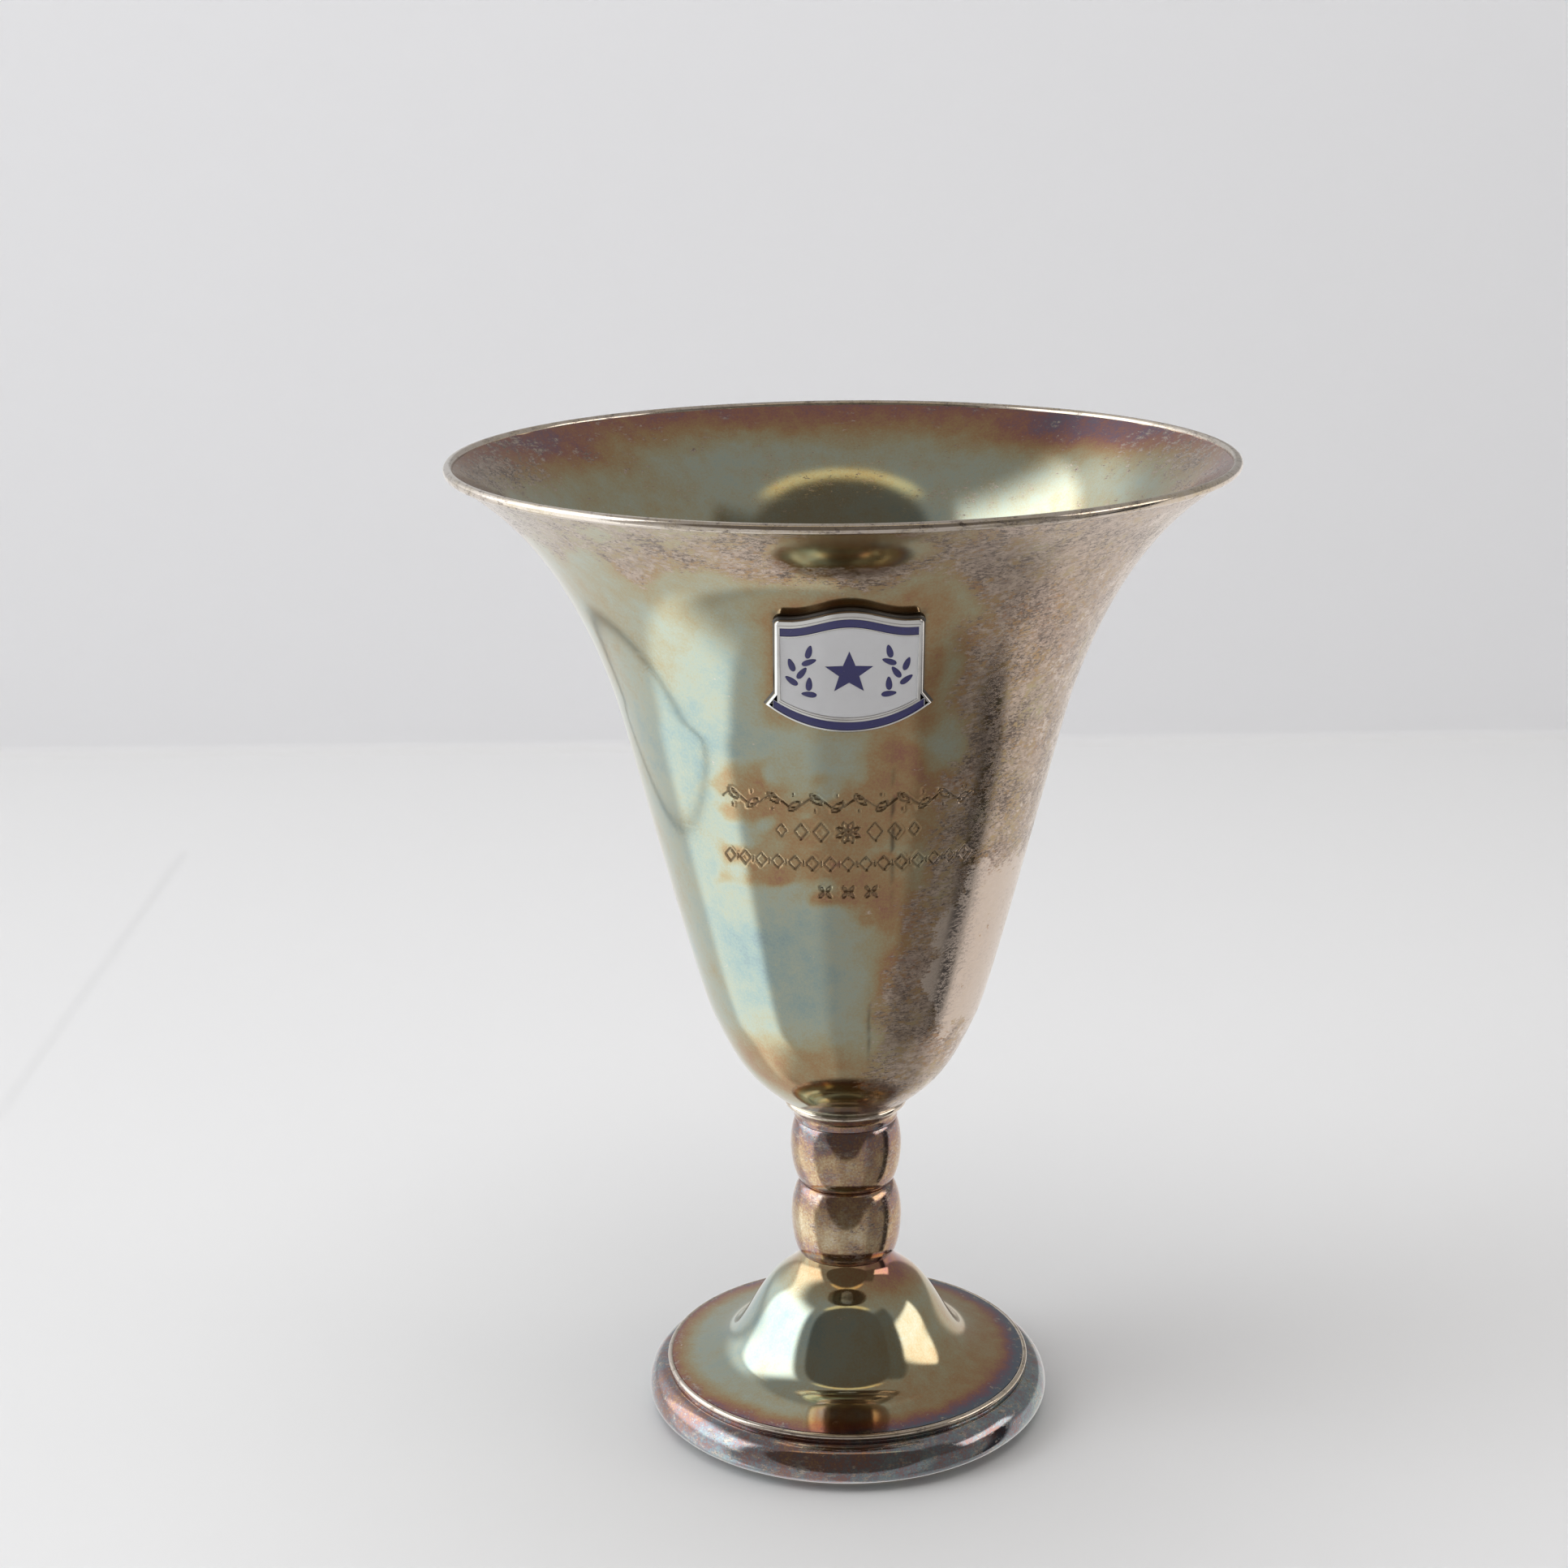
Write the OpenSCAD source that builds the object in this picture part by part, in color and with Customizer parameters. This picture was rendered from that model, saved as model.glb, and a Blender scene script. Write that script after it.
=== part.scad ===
// Prize cup: a flared silver bowl with an enamelled badge, on a two-knop stem and a spread foot.
// Millimetres, +Z up, origin at the centre of the resting face, badge on the -Y side.

/* [Bowl] */
// Outer radius over the rim wire
rim_r = 61; // [51:0.5:74]
// Height of the bowl from its collar to the top of the rim
bowl_h = 105.6; // [88:0.4:127]
// Wall of the bowl
bowl_wall = 0.8; // [0.6:0.1:1.4]
// Radius where the bowl meets its collar
seat_r = 10; // [9:0.1:12]
// Radius of the bowl at its belly
belly_r = 21.5; // [19:0.5:26]
// Height of the belly above the collar
belly_h = 15.6; // [13:0.1:19]
// Radius of the bowl at its throat, below the flare
throat_r = 36.1; // [32:0.1:42]
// Distance of the throat below the rim
throat_drop = 36; // [30:0.5:42]
// Thickness of the round rim wire
rim_wire_d = 1.5; // [1.2:0.1:2.4]

/* [Stem] */
// Height of the collar under the bowl
collar_h = 3.6; // [3:0.1:4.4]
// Radius of the collar at its lower end
collar_low_r = 8.5; // [7.8:0.1:9]
// Thickness of the bead round the top of the collar
collar_bead_d = 1.2; // [0.9:0.1:1.5]
// Height of the upper knop
upper_knop_h = 11.2; // [9:0.1:14]
// Height of the lower knop
lower_knop_h = 12.6; // [10:0.1:15.2]
// Greatest radius of both knops
knop_r = 9.1; // [8.4:0.1:11]
// Radius in the notch where the knops meet
notch_r = 7.2; // [6.8:0.1:7.8]
// Wall of the knops
knop_wall = 0.9; // [0.7:0.1:1.2]
// Radius of the threaded tie rod
rod_r = 2.5; // [2:0.1:3]

/* [Foot] */
// Height of the foot, from the table to the lower knop
foot_h = 27; // [23:0.2:32]
// Greatest radius of the foot's border
foot_r = 33.3; // [28:0.1:40]
// Radius of the dome's edge
dome_edge_r = 29.4; // [24.6:0.1:34]
// Height of the dome's edge above the table
dome_edge_h = 8.6; // [7.8:0.1:9.6]
// Radius of the dome's neck
neck_r = 7.8; // [7.6:0.1:8.4]
// Wall of the dome
dome_wall = 0.8; // [0.6:0.1:1]
// Height of the border's widest line above the table
border_mid_h = 3.3; // [2.8:0.1:3.8]
// Thickness of the base ring
base_ring_t = 0.7; // [0.5:0.1:1]
// Thickness of the bead round the dome's edge
foot_bead_d = 1; // [0.8:0.1:1.2]

/* [Badge] */
// Width of the badge's upper part
badge_w = 21; // [17:0.5:24]
// Width of the badge over its lower points
badge_tip_w = 23.9; // [20:0.1:27]
// Height of the badge at its middle
badge_h = 19.9; // [17:0.1:23]
// Distance of the badge's lowest point below the rim
badge_drop = 34.5; // [30:0.5:40]
// Thickness of the badge
badge_t = 2; // [1.4:0.1:2.6]
// Width of the badge's raised border
badge_border_w = 0.5; // [0.4:0.05:0.8]
// Width of the two blue bands
badge_band_w = 1.3; // [0.9:0.1:1.6]
// Width of the silver lines between the enamels
badge_line_w = 0.25; // [0.2:0.05:0.4]
// Radius of the star
star_r = 3.6; // [2.6:0.1:4]
// Leaves on each laurel branch
leaf_count = 7; // [4:1:8]

/* [Hidden] */
$fn = 64;

// Clearance of a piece that slips into another
slip = 0.05;

// Heights of the joints, from the table up
knop_joint_z = foot_h + lower_knop_h;
collar_z = knop_joint_z + upper_knop_h;
seat_z = collar_z + collar_h;
rim_z = seat_z + bowl_h;

// Curves -------------------------------------------------------------------------------------

function dir(a) = [cos(a), sin(a)];

// Point at t on the curve from p0, leaving at angle a0, to p1, arriving at angle a1.
// k0 and k1 are the reach of the curve's two handles.
function bend(p0, a0, k0, p1, a1, k1, t) =
    let (c0 = p0 + k0 * dir(a0), c1 = p1 - k1 * dir(a1), s = 1 - t)
    s * s * s * p0 + 3 * s * s * t * c0 + 3 * s * t * t * c1 + t * t * t * p1;

function bend_pts(p0, a0, k0, p1, a1, k1, n, first = 1) =
    [for (i = [first:n]) bend(p0, a0, k0, p1, a1, k1, i / n)];

function unit(v) = v / norm(v);
function left_of(v) = [-v[1], v[0]];

// Direction square to an open line of points, at point i, on its left.
function square_at(p, i) =
    let (a = p[max(i - 1, 0)], b = p[min(i + 1, len(p) - 1)])
    left_of(unit(b - a));

function shift_line(p, d) = [for (i = [0:len(p) - 1]) p[i] + d * square_at(p, i)];

function reversed(p) = [for (i = [len(p) - 1:-1:0]) p[i]];

// A closed outline drawn in by d, with mitred corners. The outline runs anticlockwise.
function inset(p, d) =
    let (n = len(p))
    [for (i = [0:n - 1])
        let (a = left_of(unit(p[i] - p[(i + n - 1) % n])), b = left_of(unit(p[(i + 1) % n] - p[i])))
        p[i] + d * (a + b) / (1 + a * b)];

// Quarter of a rounded barrel, from its widest point (r1, z1) to its end (r2, z2).
// full is an exponent: 1 is an ellipse, and more is leaner.
function quarter(r1, z1, r2, z2, full, n, first = 0) =
    [for (i = [first:n])
        let (a = 90 * i / n)
        [r2 + (r1 - r2) * pow(max(cos(a), 0), full), z1 + (z2 - z1) * pow(sin(a), full)]];

module turn(p) {
    rotate_extrude($fn = 96)
        polygon(p);
}

module tube(r_out, r_in, z0, z1) {
    difference() {
        translate([0, 0, z0])
            cylinder(r = r_out, h = z1 - z0);
        translate([0, 0, z0 - 1])
            cylinder(r = r_in, h = z1 - z0 + 2);
    }
}

// A round ring of wire, centred on (r, z)
module bead(r, z, d) {
    sides = 24;
    turn([for (i = [0:sides - 1]) [r, z] + d / 2 * dir(360 * i / sides)]);
}

// Bowl ---------------------------------------------------------------------------------------

// Slopes of the bowl's side, from its seat up to its lip
seat_angle = 38;
belly_angle = 66;
throat_angle = 71.7;
lip_angle = 26;
// Reach of the curve handles on each side of a point
seat_reach = 7.6;
belly_reach_below = 10;
belly_reach_above = 6.5;
throat_reach_below = 6;
throat_reach_above = 25;
lip_reach = 11.6;

wire_r = rim_wire_d / 2;
wire_c = [rim_r - wire_r, rim_z - wire_r];
lip_p = wire_c - left_of(dir(lip_angle)) * bowl_wall / 2;
belly_p = [belly_r, seat_z + belly_h];
throat_p = [throat_r, rim_z - throat_drop];

// The rounded bottom of the bowl is part of a ball that runs smoothly into the side.
ball_r = seat_r / sin(seat_angle);
ball_z = seat_z + ball_r * cos(seat_angle);

bowl_line = concat(
    [for (i = [0:6]) let (a = seat_angle * i / 6) [ball_r * sin(a), ball_z - ball_r * cos(a)]],
    bend_pts([seat_r, seat_z], seat_angle, seat_reach, belly_p, belly_angle, belly_reach_below, 10),
    bend_pts(belly_p, belly_angle, belly_reach_above,
        throat_p, throat_angle, throat_reach_below, 10),
    bend_pts(throat_p, throat_angle, throat_reach_above, lip_p, lip_angle, lip_reach, 14));

// The bowl's outer line moved out by d, with its foot kept on the axis.
function bowl_shifted(d) =
    let (p = shift_line(bowl_line, -d))
    concat([[0, p[0][1]]], [for (i = [1:len(p) - 1]) p[i]]);

// The bowl filled up to its lip, to cut away what stands under it
module bowl_filled() {
    turn(concat(bowl_line, [[0, lip_p[1]]]));
}

module bowl_shell() {
    turn(concat(bowl_line, reversed(bowl_shifted(-bowl_wall))));
}

module bowl() {
    color("silver")
        bowl_shell();
}

module rim_wire() {
    color("gainsboro")
        difference() {
            bead(wire_c[0], wire_c[1], rim_wire_d);
            bowl_shell();
        }
}

// Stem ---------------------------------------------------------------------------------------

// Hole through the ends of the knops, and the spigots that slip into it
joint_bore_r = notch_r - knop_wall;
spigot_r = joint_bore_r - slip;
spigot_reach = 2;
knop_end_t = 0.8;
knop_leanness = 1.1;
// Where each knop is widest, as a share of its height
upper_knop_mid = 0.57;
lower_knop_mid = 0.53;
boss_reach = 4;
boss_bottom_z = collar_z - boss_reach;
bowl_bottom_z = ball_z - ball_r;
// Space over the rod's end, under the bowl
rod_end_gap = 0.3;
rod_top_z = bowl_bottom_z - rod_end_gap;

module bowl_boss() {
    color("darkgoldenrod")
        difference() {
            translate([0, 0, boss_bottom_z])
                cylinder(r = spigot_r, h = seat_z - boss_bottom_z);
            bowl_filled();
            translate([0, 0, boss_bottom_z - 1])
                cylinder(r = rod_r, h = rod_top_z - boss_bottom_z + 1);
        }
}

collar_bead_c = [seat_r - collar_bead_d / 2, seat_z - collar_bead_d / 2];

module collar_body() {
    chamfer = 0.3;
    curve_reach = 0.8;
    edge_r = seat_r - 0.5;
    low = [collar_low_r, collar_z + 2 * chamfer];
    top = [edge_r, seat_z - collar_bead_d];
    turn(concat(
        [[joint_bore_r, collar_z]],
        [[collar_low_r - chamfer, collar_z], [collar_low_r, collar_z + chamfer]],
        [low],
        bend_pts(low, 90, curve_reach, top, 50, curve_reach, 6),
        [[edge_r, seat_z], [joint_bore_r, seat_z]]));
}

module collar() {
    color("darkgray")
        difference() {
            collar_body();
            bowl_filled();
        }
}

module collar_bead() {
    color("gainsboro")
        difference() {
            bead(collar_bead_c[0], collar_bead_c[1], collar_bead_d);
            bowl_filled();
            collar_body();
        }
}

// A hollow knop between z0 and z1, widest at zm, with end radii r0 and r1.
module knop(z0, z1, zm, r0, r1) {
    full = knop_leanness;
    w = knop_wall;
    e = knop_end_t;
    outer = concat(
        reversed(quarter(knop_r, zm, r0, z0, full, 9)),
        quarter(knop_r, zm, r1, z1, full, 9, 1));
    inner = concat(
        reversed(quarter(knop_r - w, zm, r0 - w, z0 + e, full, 9)),
        quarter(knop_r - w, zm, r1 - w, z1 - e, full, 9, 1));
    difference() {
        turn(concat([[0, z0]], outer, [[0, z1]]));
        turn(concat([[0, z0 + e]], inner, [[0, z1 - e]]));
        translate([0, 0, z0 - 1])
            cylinder(r = joint_bore_r, h = z1 - z0 + 2);
    }
}

upper_knop_top_r = collar_low_r - 0.5;
lower_knop_bottom_r = neck_r - 0.1;

module upper_knop() {
    mid_z = knop_joint_z + upper_knop_mid * upper_knop_h;
    color("rosybrown")
        knop(knop_joint_z, collar_z, mid_z, notch_r, upper_knop_top_r);
}

module lower_knop() {
    mid_z = foot_h + lower_knop_mid * lower_knop_h;
    color("tan")
        knop(foot_h, knop_joint_z, mid_z, lower_knop_bottom_r, notch_r);
}

module knop_spigot() {
    wall = 1.2;
    color("peru")
        tube(spigot_r, spigot_r - wall, knop_joint_z - spigot_reach, knop_joint_z + spigot_reach);
}

// Tie rod and its fixings ----------------------------------------------------------------------

dome_top_t = 0.9;
bush_shoulder_r = neck_r - dome_wall - 0.15;
bush_shoulder_t = 1.6;
bush_bottom_z = foot_h - dome_top_t - bush_shoulder_t;
washer_t = 1;
washer_r = rod_r * 2;
nut_t = 4;
nut_r = rod_r * 1.85;
nut_top_z = bush_bottom_z - washer_t;
rod_tail = 1.5;
rod_bottom_z = nut_top_z - nut_t - rod_tail;

module foot_bush() {
    color("darkgoldenrod")
        difference() {
            union() {
                translate([0, 0, bush_bottom_z])
                    cylinder(r = bush_shoulder_r, h = bush_shoulder_t);
                translate([0, 0, bush_bottom_z])
                    cylinder(r = spigot_r, h = foot_h + spigot_reach - bush_bottom_z);
            }
            translate([0, 0, bush_bottom_z - 1])
                cylinder(r = rod_r + slip, h = foot_h);
        }
}

module tie_rod() {
    chamfer = 0.4;
    color("goldenrod")
        turn([[0, rod_bottom_z], [rod_r - chamfer, rod_bottom_z], [rod_r, rod_bottom_z + chamfer],
            [rod_r, rod_top_z], [0, rod_top_z]]);
}

module rod_washer() {
    color("goldenrod")
        tube(washer_r, rod_r + slip, nut_top_z, nut_top_z + washer_t);
}

module rod_nut() {
    color("goldenrod")
        difference() {
            translate([0, 0, nut_top_z - nut_t])
                cylinder(r = nut_r, h = nut_t, $fn = 6);
            translate([0, 0, nut_top_z - nut_t - 1])
                cylinder(r = rod_r + slip, h = nut_t + 2);
        }
}

// Foot ---------------------------------------------------------------------------------------

plateau_angle = 9;
plateau_w = 2.4;
// The dome's shoulder from its neck, and its waist from the neck and the edge
shoulder_out = 4.2;
shoulder_drop = 5.1;
shoulder_angle = -42;
waist_out = 9.5;
waist_rise = 5.6;
waist_angle = -57;
shoulder_p = [neck_r + shoulder_out, foot_h - shoulder_drop];
waist_p = [neck_r + waist_out, dome_edge_h + waist_rise];
edge_p = [dome_edge_r, dome_edge_h];
plateau_p = edge_p + plateau_w * [-1, tan(plateau_angle)];

dome_line = concat(
    [[neck_r, foot_h]],
    bend_pts([neck_r, foot_h], -90, 2.2, shoulder_p, shoulder_angle, 2.2, 7),
    bend_pts(shoulder_p, shoulder_angle, 3, waist_p, waist_angle, 3, 7),
    bend_pts(waist_p, waist_angle, 5, plateau_p, -plateau_angle, 6, 10),
    [edge_p]);

module dome_shell() {
    inner = shift_line(dome_line, -dome_wall);
    n = len(inner) - 1;
    under = foot_h - dome_top_t;
    turn(concat(
        [[joint_bore_r, foot_h]],
        dome_line,
        reversed([for (i = [0:n]) if (inner[i][1] < under - 0.1) inner[i]]),
        [[neck_r - dome_wall, under], [joint_bore_r, under]]));
}

module foot_dome() {
    color("darkkhaki")
        dome_shell();
}

// Underside of the dome's sloping edge, at radius r
function dome_under(r) =
    dome_edge_h - dome_wall / cos(plateau_angle) + (dome_edge_r - r) * tan(plateau_angle);

border_wall = 0.8;
// How far the border bulges past its ends, and where its top stops under the dome's edge
border_bulge = 3.3;
border_end_r = foot_r - border_bulge;
border_top_z = dome_edge_h - 1.4;
lip_w = 2;
flange_w = 2.2;
flange_r = dome_edge_r - flange_w;

module border_shell() {
    e = border_end_r;
    w = border_wall;
    outer = concat(
        reversed(quarter(foot_r, border_mid_h, e, base_ring_t, 1, 9)),
        quarter(foot_r, border_mid_h, e, border_top_z, 1, 9, 1));
    inner = concat(
        reversed(quarter(foot_r - w, border_mid_h, e, base_ring_t + w, 1, 9)),
        quarter(foot_r - w, border_mid_h, e, border_top_z - w, 1, 9, 1));
    step_r = dome_edge_r - slip;
    turn(concat(
        [[e - lip_w, base_ring_t]],
        outer,
        [[e, border_top_z + 0.2], [step_r, dome_under(step_r)], [flange_r, dome_under(flange_r)]],
        [[flange_r, dome_under(flange_r) - w], [dome_edge_r - 0.9, border_top_z - w]],
        reversed(inner),
        [[e - lip_w, base_ring_t + w]]));
}

module foot_border() {
    color("dimgray")
        border_shell();
}

module foot_bead() {
    color("gainsboro")
        difference() {
            bead(dome_edge_r + 0.3, dome_edge_h - foot_bead_d / 2, foot_bead_d);
            dome_shell();
            border_shell();
        }
}

module base_ring() {
    round_r = base_ring_t / 2;
    inner_r = border_end_r - lip_w - 0.5;
    color("silver")
        turn(concat(
            [[inner_r, 0]],
            [for (a = [-90:30:90]) [border_end_r - round_r, round_r] + round_r * dir(a)],
            [[inner_r, base_ring_t]]));
}

// Badge --------------------------------------------------------------------------------------
// The badge's outline is drawn flat, u across and v up from its lowest point, and cut out of
// skins that follow the bowl.

badge_z = rim_z - badge_drop;
// How far the top edge falls from its middle to its corners
badge_corner_drop = 1.6;
// Height of the side points over the lowest point
tip_v = 4.3;
solder_t = 0.15;
enamel_depth = 0.9;
enamel_sink = 0.08;
floor_t = badge_t - enamel_depth;
enamel_t = badge_t - enamel_sink;

half_w = badge_w / 2;
arch_w = half_w * 0.83;
side_out = 0.1;
side_v = tip_v + 1.9;
tip_u = badge_tip_w / 2;
bottom_r = (tip_u * tip_u + tip_v * tip_v) / (2 * tip_v);

function top_v(u) =
    badge_h - badge_corner_drop * (abs(u) < arch_w ? (1 - cos(180 * u / arch_w)) / 2 : 1);
function bottom_v(u) = bottom_r - sqrt(bottom_r * bottom_r - u * u);

badge_outline = concat(
    [for (i = [-8:8]) let (u = tip_u * i / 8) [u, bottom_v(u)]],
    [[half_w + side_out, side_v]],
    [for (i = [12:-1:-12]) let (u = half_w * i / 12) [u, top_v(u)]],
    [[-half_w - side_out, side_v]]);

// The bands lie this far inside the outline at the top and at the bottom
top_band_in = badge_border_w + 0.75;
bottom_band_in = 0.45;
top_edge_in = top_band_in + badge_band_w + badge_line_w;
bottom_edge_in = bottom_band_in + badge_band_w + 0.75;
white_u = half_w - badge_border_w - badge_line_w;
emblem_v = badge_h * 0.49;

// A strip under the top edge, between depths a and b
function top_strip(a, b) = concat(
    [for (i = [-12:12]) let (u = half_w * i / 12) [u, top_v(u) - b]],
    [for (i = [12:-1:-12]) let (u = half_w * i / 12) [u, top_v(u) - a]]);

// A strip over the bottom edge, between heights a and b, that runs out past the side points
strip_u = 1.06 * tip_u;
function bottom_strip(a, b) = concat(
    [for (i = [-10:10]) let (u = strip_u * i / 10) [u, bottom_v(u) + a]],
    [for (i = [10:-1:-10]) let (u = strip_u * i / 10) [u, bottom_v(u) + b]]);

module cut_out(p) {
    translate([0, 0, badge_z])
        rotate([90, 0, 0])
            linear_extrude(height = rim_r)
                polygon(p);
}

// A skin on the bowl from height a to height b above its surface, round the badge
module skin(a, b) {
    margin = 3;
    low = badge_z - margin;
    high = badge_z + badge_h + margin;
    near = [for (i = [0:len(bowl_line) - 1]) if (bowl_line[i][1] > low && bowl_line[i][1] < high) i];
    pa = shift_line(bowl_line, -a);
    pb = shift_line(bowl_line, -b);
    turn(concat([for (i = near) pb[i]], reversed([for (i = near) pa[i]])));
}

module top_cell() {
    intersection() {
        cut_out(inset(badge_outline, badge_border_w + badge_line_w));
        cut_out(top_strip(top_band_in, top_band_in + badge_band_w));
    }
}

module bottom_cell() {
    intersection() {
        cut_out(inset(badge_outline, bottom_band_in));
        cut_out(bottom_strip(0.1, bottom_band_in + badge_band_w));
    }
}

module white_cell() {
    field = concat(
        [for (i = [-10:10]) let (u = white_u * i / 10) [u, bottom_v(u) + bottom_edge_in]],
        [for (i = [12:-1:-12]) let (u = white_u * i / 12) [u, top_v(u) - top_edge_in]]);
    cut_out(field);
}

module star_cell() {
    notch = 0.42;
    cut_out([for (i = [0:9])
        let (r = i % 2 == 0 ? star_r : star_r * notch)
        [0, emblem_v] + r * dir(90 + 36 * i)]);
}

// The laurel branches curve up on both sides of the star.
branch_r = star_r + 4;
branch_sweep = 48;
branch_flat = 0.72;
leaf_l = 2.2;
leaf_w = 0.9;
leaf_out = 0.9;
leaf_tilt = 35;

module leaf_cell(p, a) {
    cut_out([for (i = [0:15])
        let (t = 22.5 * i, x = leaf_l / 2 * cos(t), y = leaf_w / 2 * sin(t) * (1 - 0.25 * cos(t)))
        p + x * dir(a) + y * left_of(dir(a))]);
}

module laurel_cells() {
    step = 2 * branch_sweep / (leaf_count - 1);
    for (side = [-1, 1], i = [0:leaf_count - 1]) {
        a = -branch_sweep + step * i;
        out = i % 2 == 0 ? leaf_out : -leaf_out;
        heading = a + 90 + (i % 2 == 0 ? -leaf_tilt : leaf_tilt);
        rise = branch_flat * (branch_r - 2 + out) * sin(a);
        p = [side * (branch_r + out) * cos(a), emblem_v + rise];
        leaf_cell(p, side > 0 ? heading : 180 - heading);
    }
}

module badge_solder() {
    spread = 0.2;
    color("dimgray")
        intersection() {
            cut_out(inset(badge_outline, -spread));
            skin(0, solder_t);
        }
}

module badge_plate() {
    color("whitesmoke")
        difference() {
            intersection() {
                cut_out(badge_outline);
                skin(solder_t, badge_t);
            }
            intersection() {
                union() {
                    top_cell();
                    bottom_cell();
                    white_cell();
                }
                skin(floor_t, badge_t + 1);
            }
        }
}

module badge_white_enamel() {
    color("white")
        difference() {
            intersection() {
                white_cell();
                skin(floor_t, enamel_t);
            }
            star_cell();
            laurel_cells();
        }
}

module badge_top_band() {
    color("midnightblue")
        intersection() {
            top_cell();
            skin(floor_t, enamel_t);
        }
}

module badge_bottom_band() {
    color("midnightblue")
        intersection() {
            bottom_cell();
            skin(floor_t, enamel_t);
        }
}

module badge_star() {
    color("midnightblue")
        intersection() {
            star_cell();
            skin(floor_t, badge_t);
        }
}

module badge_laurel() {
    color("midnightblue")
        intersection() {
            laurel_cells();
            skin(floor_t, badge_t);
        }
}

bowl();
rim_wire();
bowl_boss();
collar();
collar_bead();
upper_knop();
lower_knop();
knop_spigot();
foot_bush();
tie_rod();
rod_washer();
rod_nut();
foot_dome();
foot_bead();
foot_border();
base_ring();
badge_solder();
badge_plate();
badge_white_enamel();
badge_top_band();
badge_bottom_band();
badge_star();
badge_laurel();
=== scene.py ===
"""Looks of the prize cup: turned and tarnished silver, an engraved frieze, an enamelled badge
and a plain studio.

Lengths are in millimetres until a mesh is made, and in metres in the mesh. +Z is up and the
badge faces -Y. A profile is a line of (radius, height) pairs. A place on the cup's skin is an
azimuth in degrees, 0 at the badge and positive towards +X, and a height over the table.
"""

import logging
import math
from abc import ABC, abstractmethod
from collections.abc import Callable
from dataclasses import dataclass, field
from enum import Enum

import bpy
import numpy as np
from mathutils import Matrix, Vector
from mathutils.geometry import delaunay_2d_cdt


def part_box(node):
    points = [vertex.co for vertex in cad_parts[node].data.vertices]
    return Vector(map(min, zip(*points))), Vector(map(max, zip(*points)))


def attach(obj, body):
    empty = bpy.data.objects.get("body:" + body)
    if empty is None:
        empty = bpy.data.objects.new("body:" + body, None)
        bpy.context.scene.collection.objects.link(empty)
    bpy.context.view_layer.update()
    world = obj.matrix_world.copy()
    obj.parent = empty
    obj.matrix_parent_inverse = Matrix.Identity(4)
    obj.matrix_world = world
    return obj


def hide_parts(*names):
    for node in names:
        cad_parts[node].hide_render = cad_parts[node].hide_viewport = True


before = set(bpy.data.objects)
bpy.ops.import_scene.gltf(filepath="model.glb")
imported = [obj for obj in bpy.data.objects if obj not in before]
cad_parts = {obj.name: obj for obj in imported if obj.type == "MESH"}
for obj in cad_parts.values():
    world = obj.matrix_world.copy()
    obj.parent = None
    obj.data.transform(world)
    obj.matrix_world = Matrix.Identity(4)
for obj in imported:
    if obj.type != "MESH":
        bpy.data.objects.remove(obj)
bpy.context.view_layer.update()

MM = 0.001
ROOT = "root"
log = logging.getLogger("prize_cup")

Array = np.ndarray
Triple = tuple[float, float, float]
Socket = bpy.types.NodeSocket
TINY = 1e-6


# Curves ---------------------------------------------------------------------------------------


def heading(degrees: float) -> Array:
    """Unit vector at an angle above the first axis."""
    return np.array([math.cos(math.radians(degrees)), math.sin(math.radians(degrees))])


def bend(p0: Array, a0: float, k0: float, p1: Array, a1: float, k1: float, n: int) -> Array:
    """A smooth curve between two points with a set heading at each.

    Args:
        p0: Start point.
        a0: Heading at the start, in degrees.
        k0: Reach of the start's handle.
        p1: End point.
        a1: Heading at the end, in degrees.
        k1: Reach of the end's handle.
        n: Number of steps.

    Returns:
        n + 1 points.
    """
    t = np.linspace(0, 1, n + 1)[:, None]
    c0, c1, s = p0 + k0 * heading(a0), p1 - k1 * heading(a1), 1 - t
    return s**3 * p0 + 3 * s * s * t * c0 + 3 * s * t * t * c1 + t**3 * p1


def quarter(r1: float, z1: float, r2: float, z2: float, full: float, n: int) -> Array:
    """A quarter of a rounded barrel.

    Args:
        r1: Radius at the widest point.
        z1: Height of the widest point.
        r2: Radius at the end.
        z2: Height of the end.
        full: Exponent; 1 is an ellipse and more is leaner.
        n: Number of steps.

    Returns:
        n + 1 points from the widest point to the end.
    """
    a = np.radians(np.linspace(0, 90, n + 1))
    c, s = np.clip(np.cos(a), 0, 1) ** full, np.sin(a) ** full
    return np.stack([r2 + (r1 - r2) * c, z1 + (z2 - z1) * s], 1)


def unit(v: Array) -> Array:
    """Each row scaled to length 1."""
    return v / np.linalg.norm(v, axis=1)[:, None]


def left_normals(line: Array) -> Array:
    """Unit normals on the left of an open line, one per point."""
    return unit(np.gradient(line, axis=0))[:, ::-1] * [-1, 1]


def joined(*parts: Array) -> Array:
    """Lines end to end, with points that repeat left out."""
    line = np.concatenate([np.atleast_2d(np.asarray(p, float)) for p in parts])
    keep = np.ones(len(line), bool)
    keep[1:] = np.linalg.norm(np.diff(line, axis=0), axis=1) > TINY
    return line[keep]


def drawn_in(loop: Array, d: float) -> Array:
    """A closed anticlockwise loop drawn in by d, with mitred corners."""
    before, after = loop - np.roll(loop, 1, 0), np.roll(loop, -1, 0) - loop
    a, b = unit(before)[:, ::-1] * [-1, 1], unit(after)[:, ::-1] * [-1, 1]
    return loop + d * (a + b) / (1 + (a * b).sum(1))[:, None]


def smooth(low: float, high: float, x: Array) -> Array:
    """0 below low, 1 above high, and a soft step between. low may be above high."""
    t = np.clip((x - low) / (high - low), 0, 1)
    return t * t * (3 - 2 * t)


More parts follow.
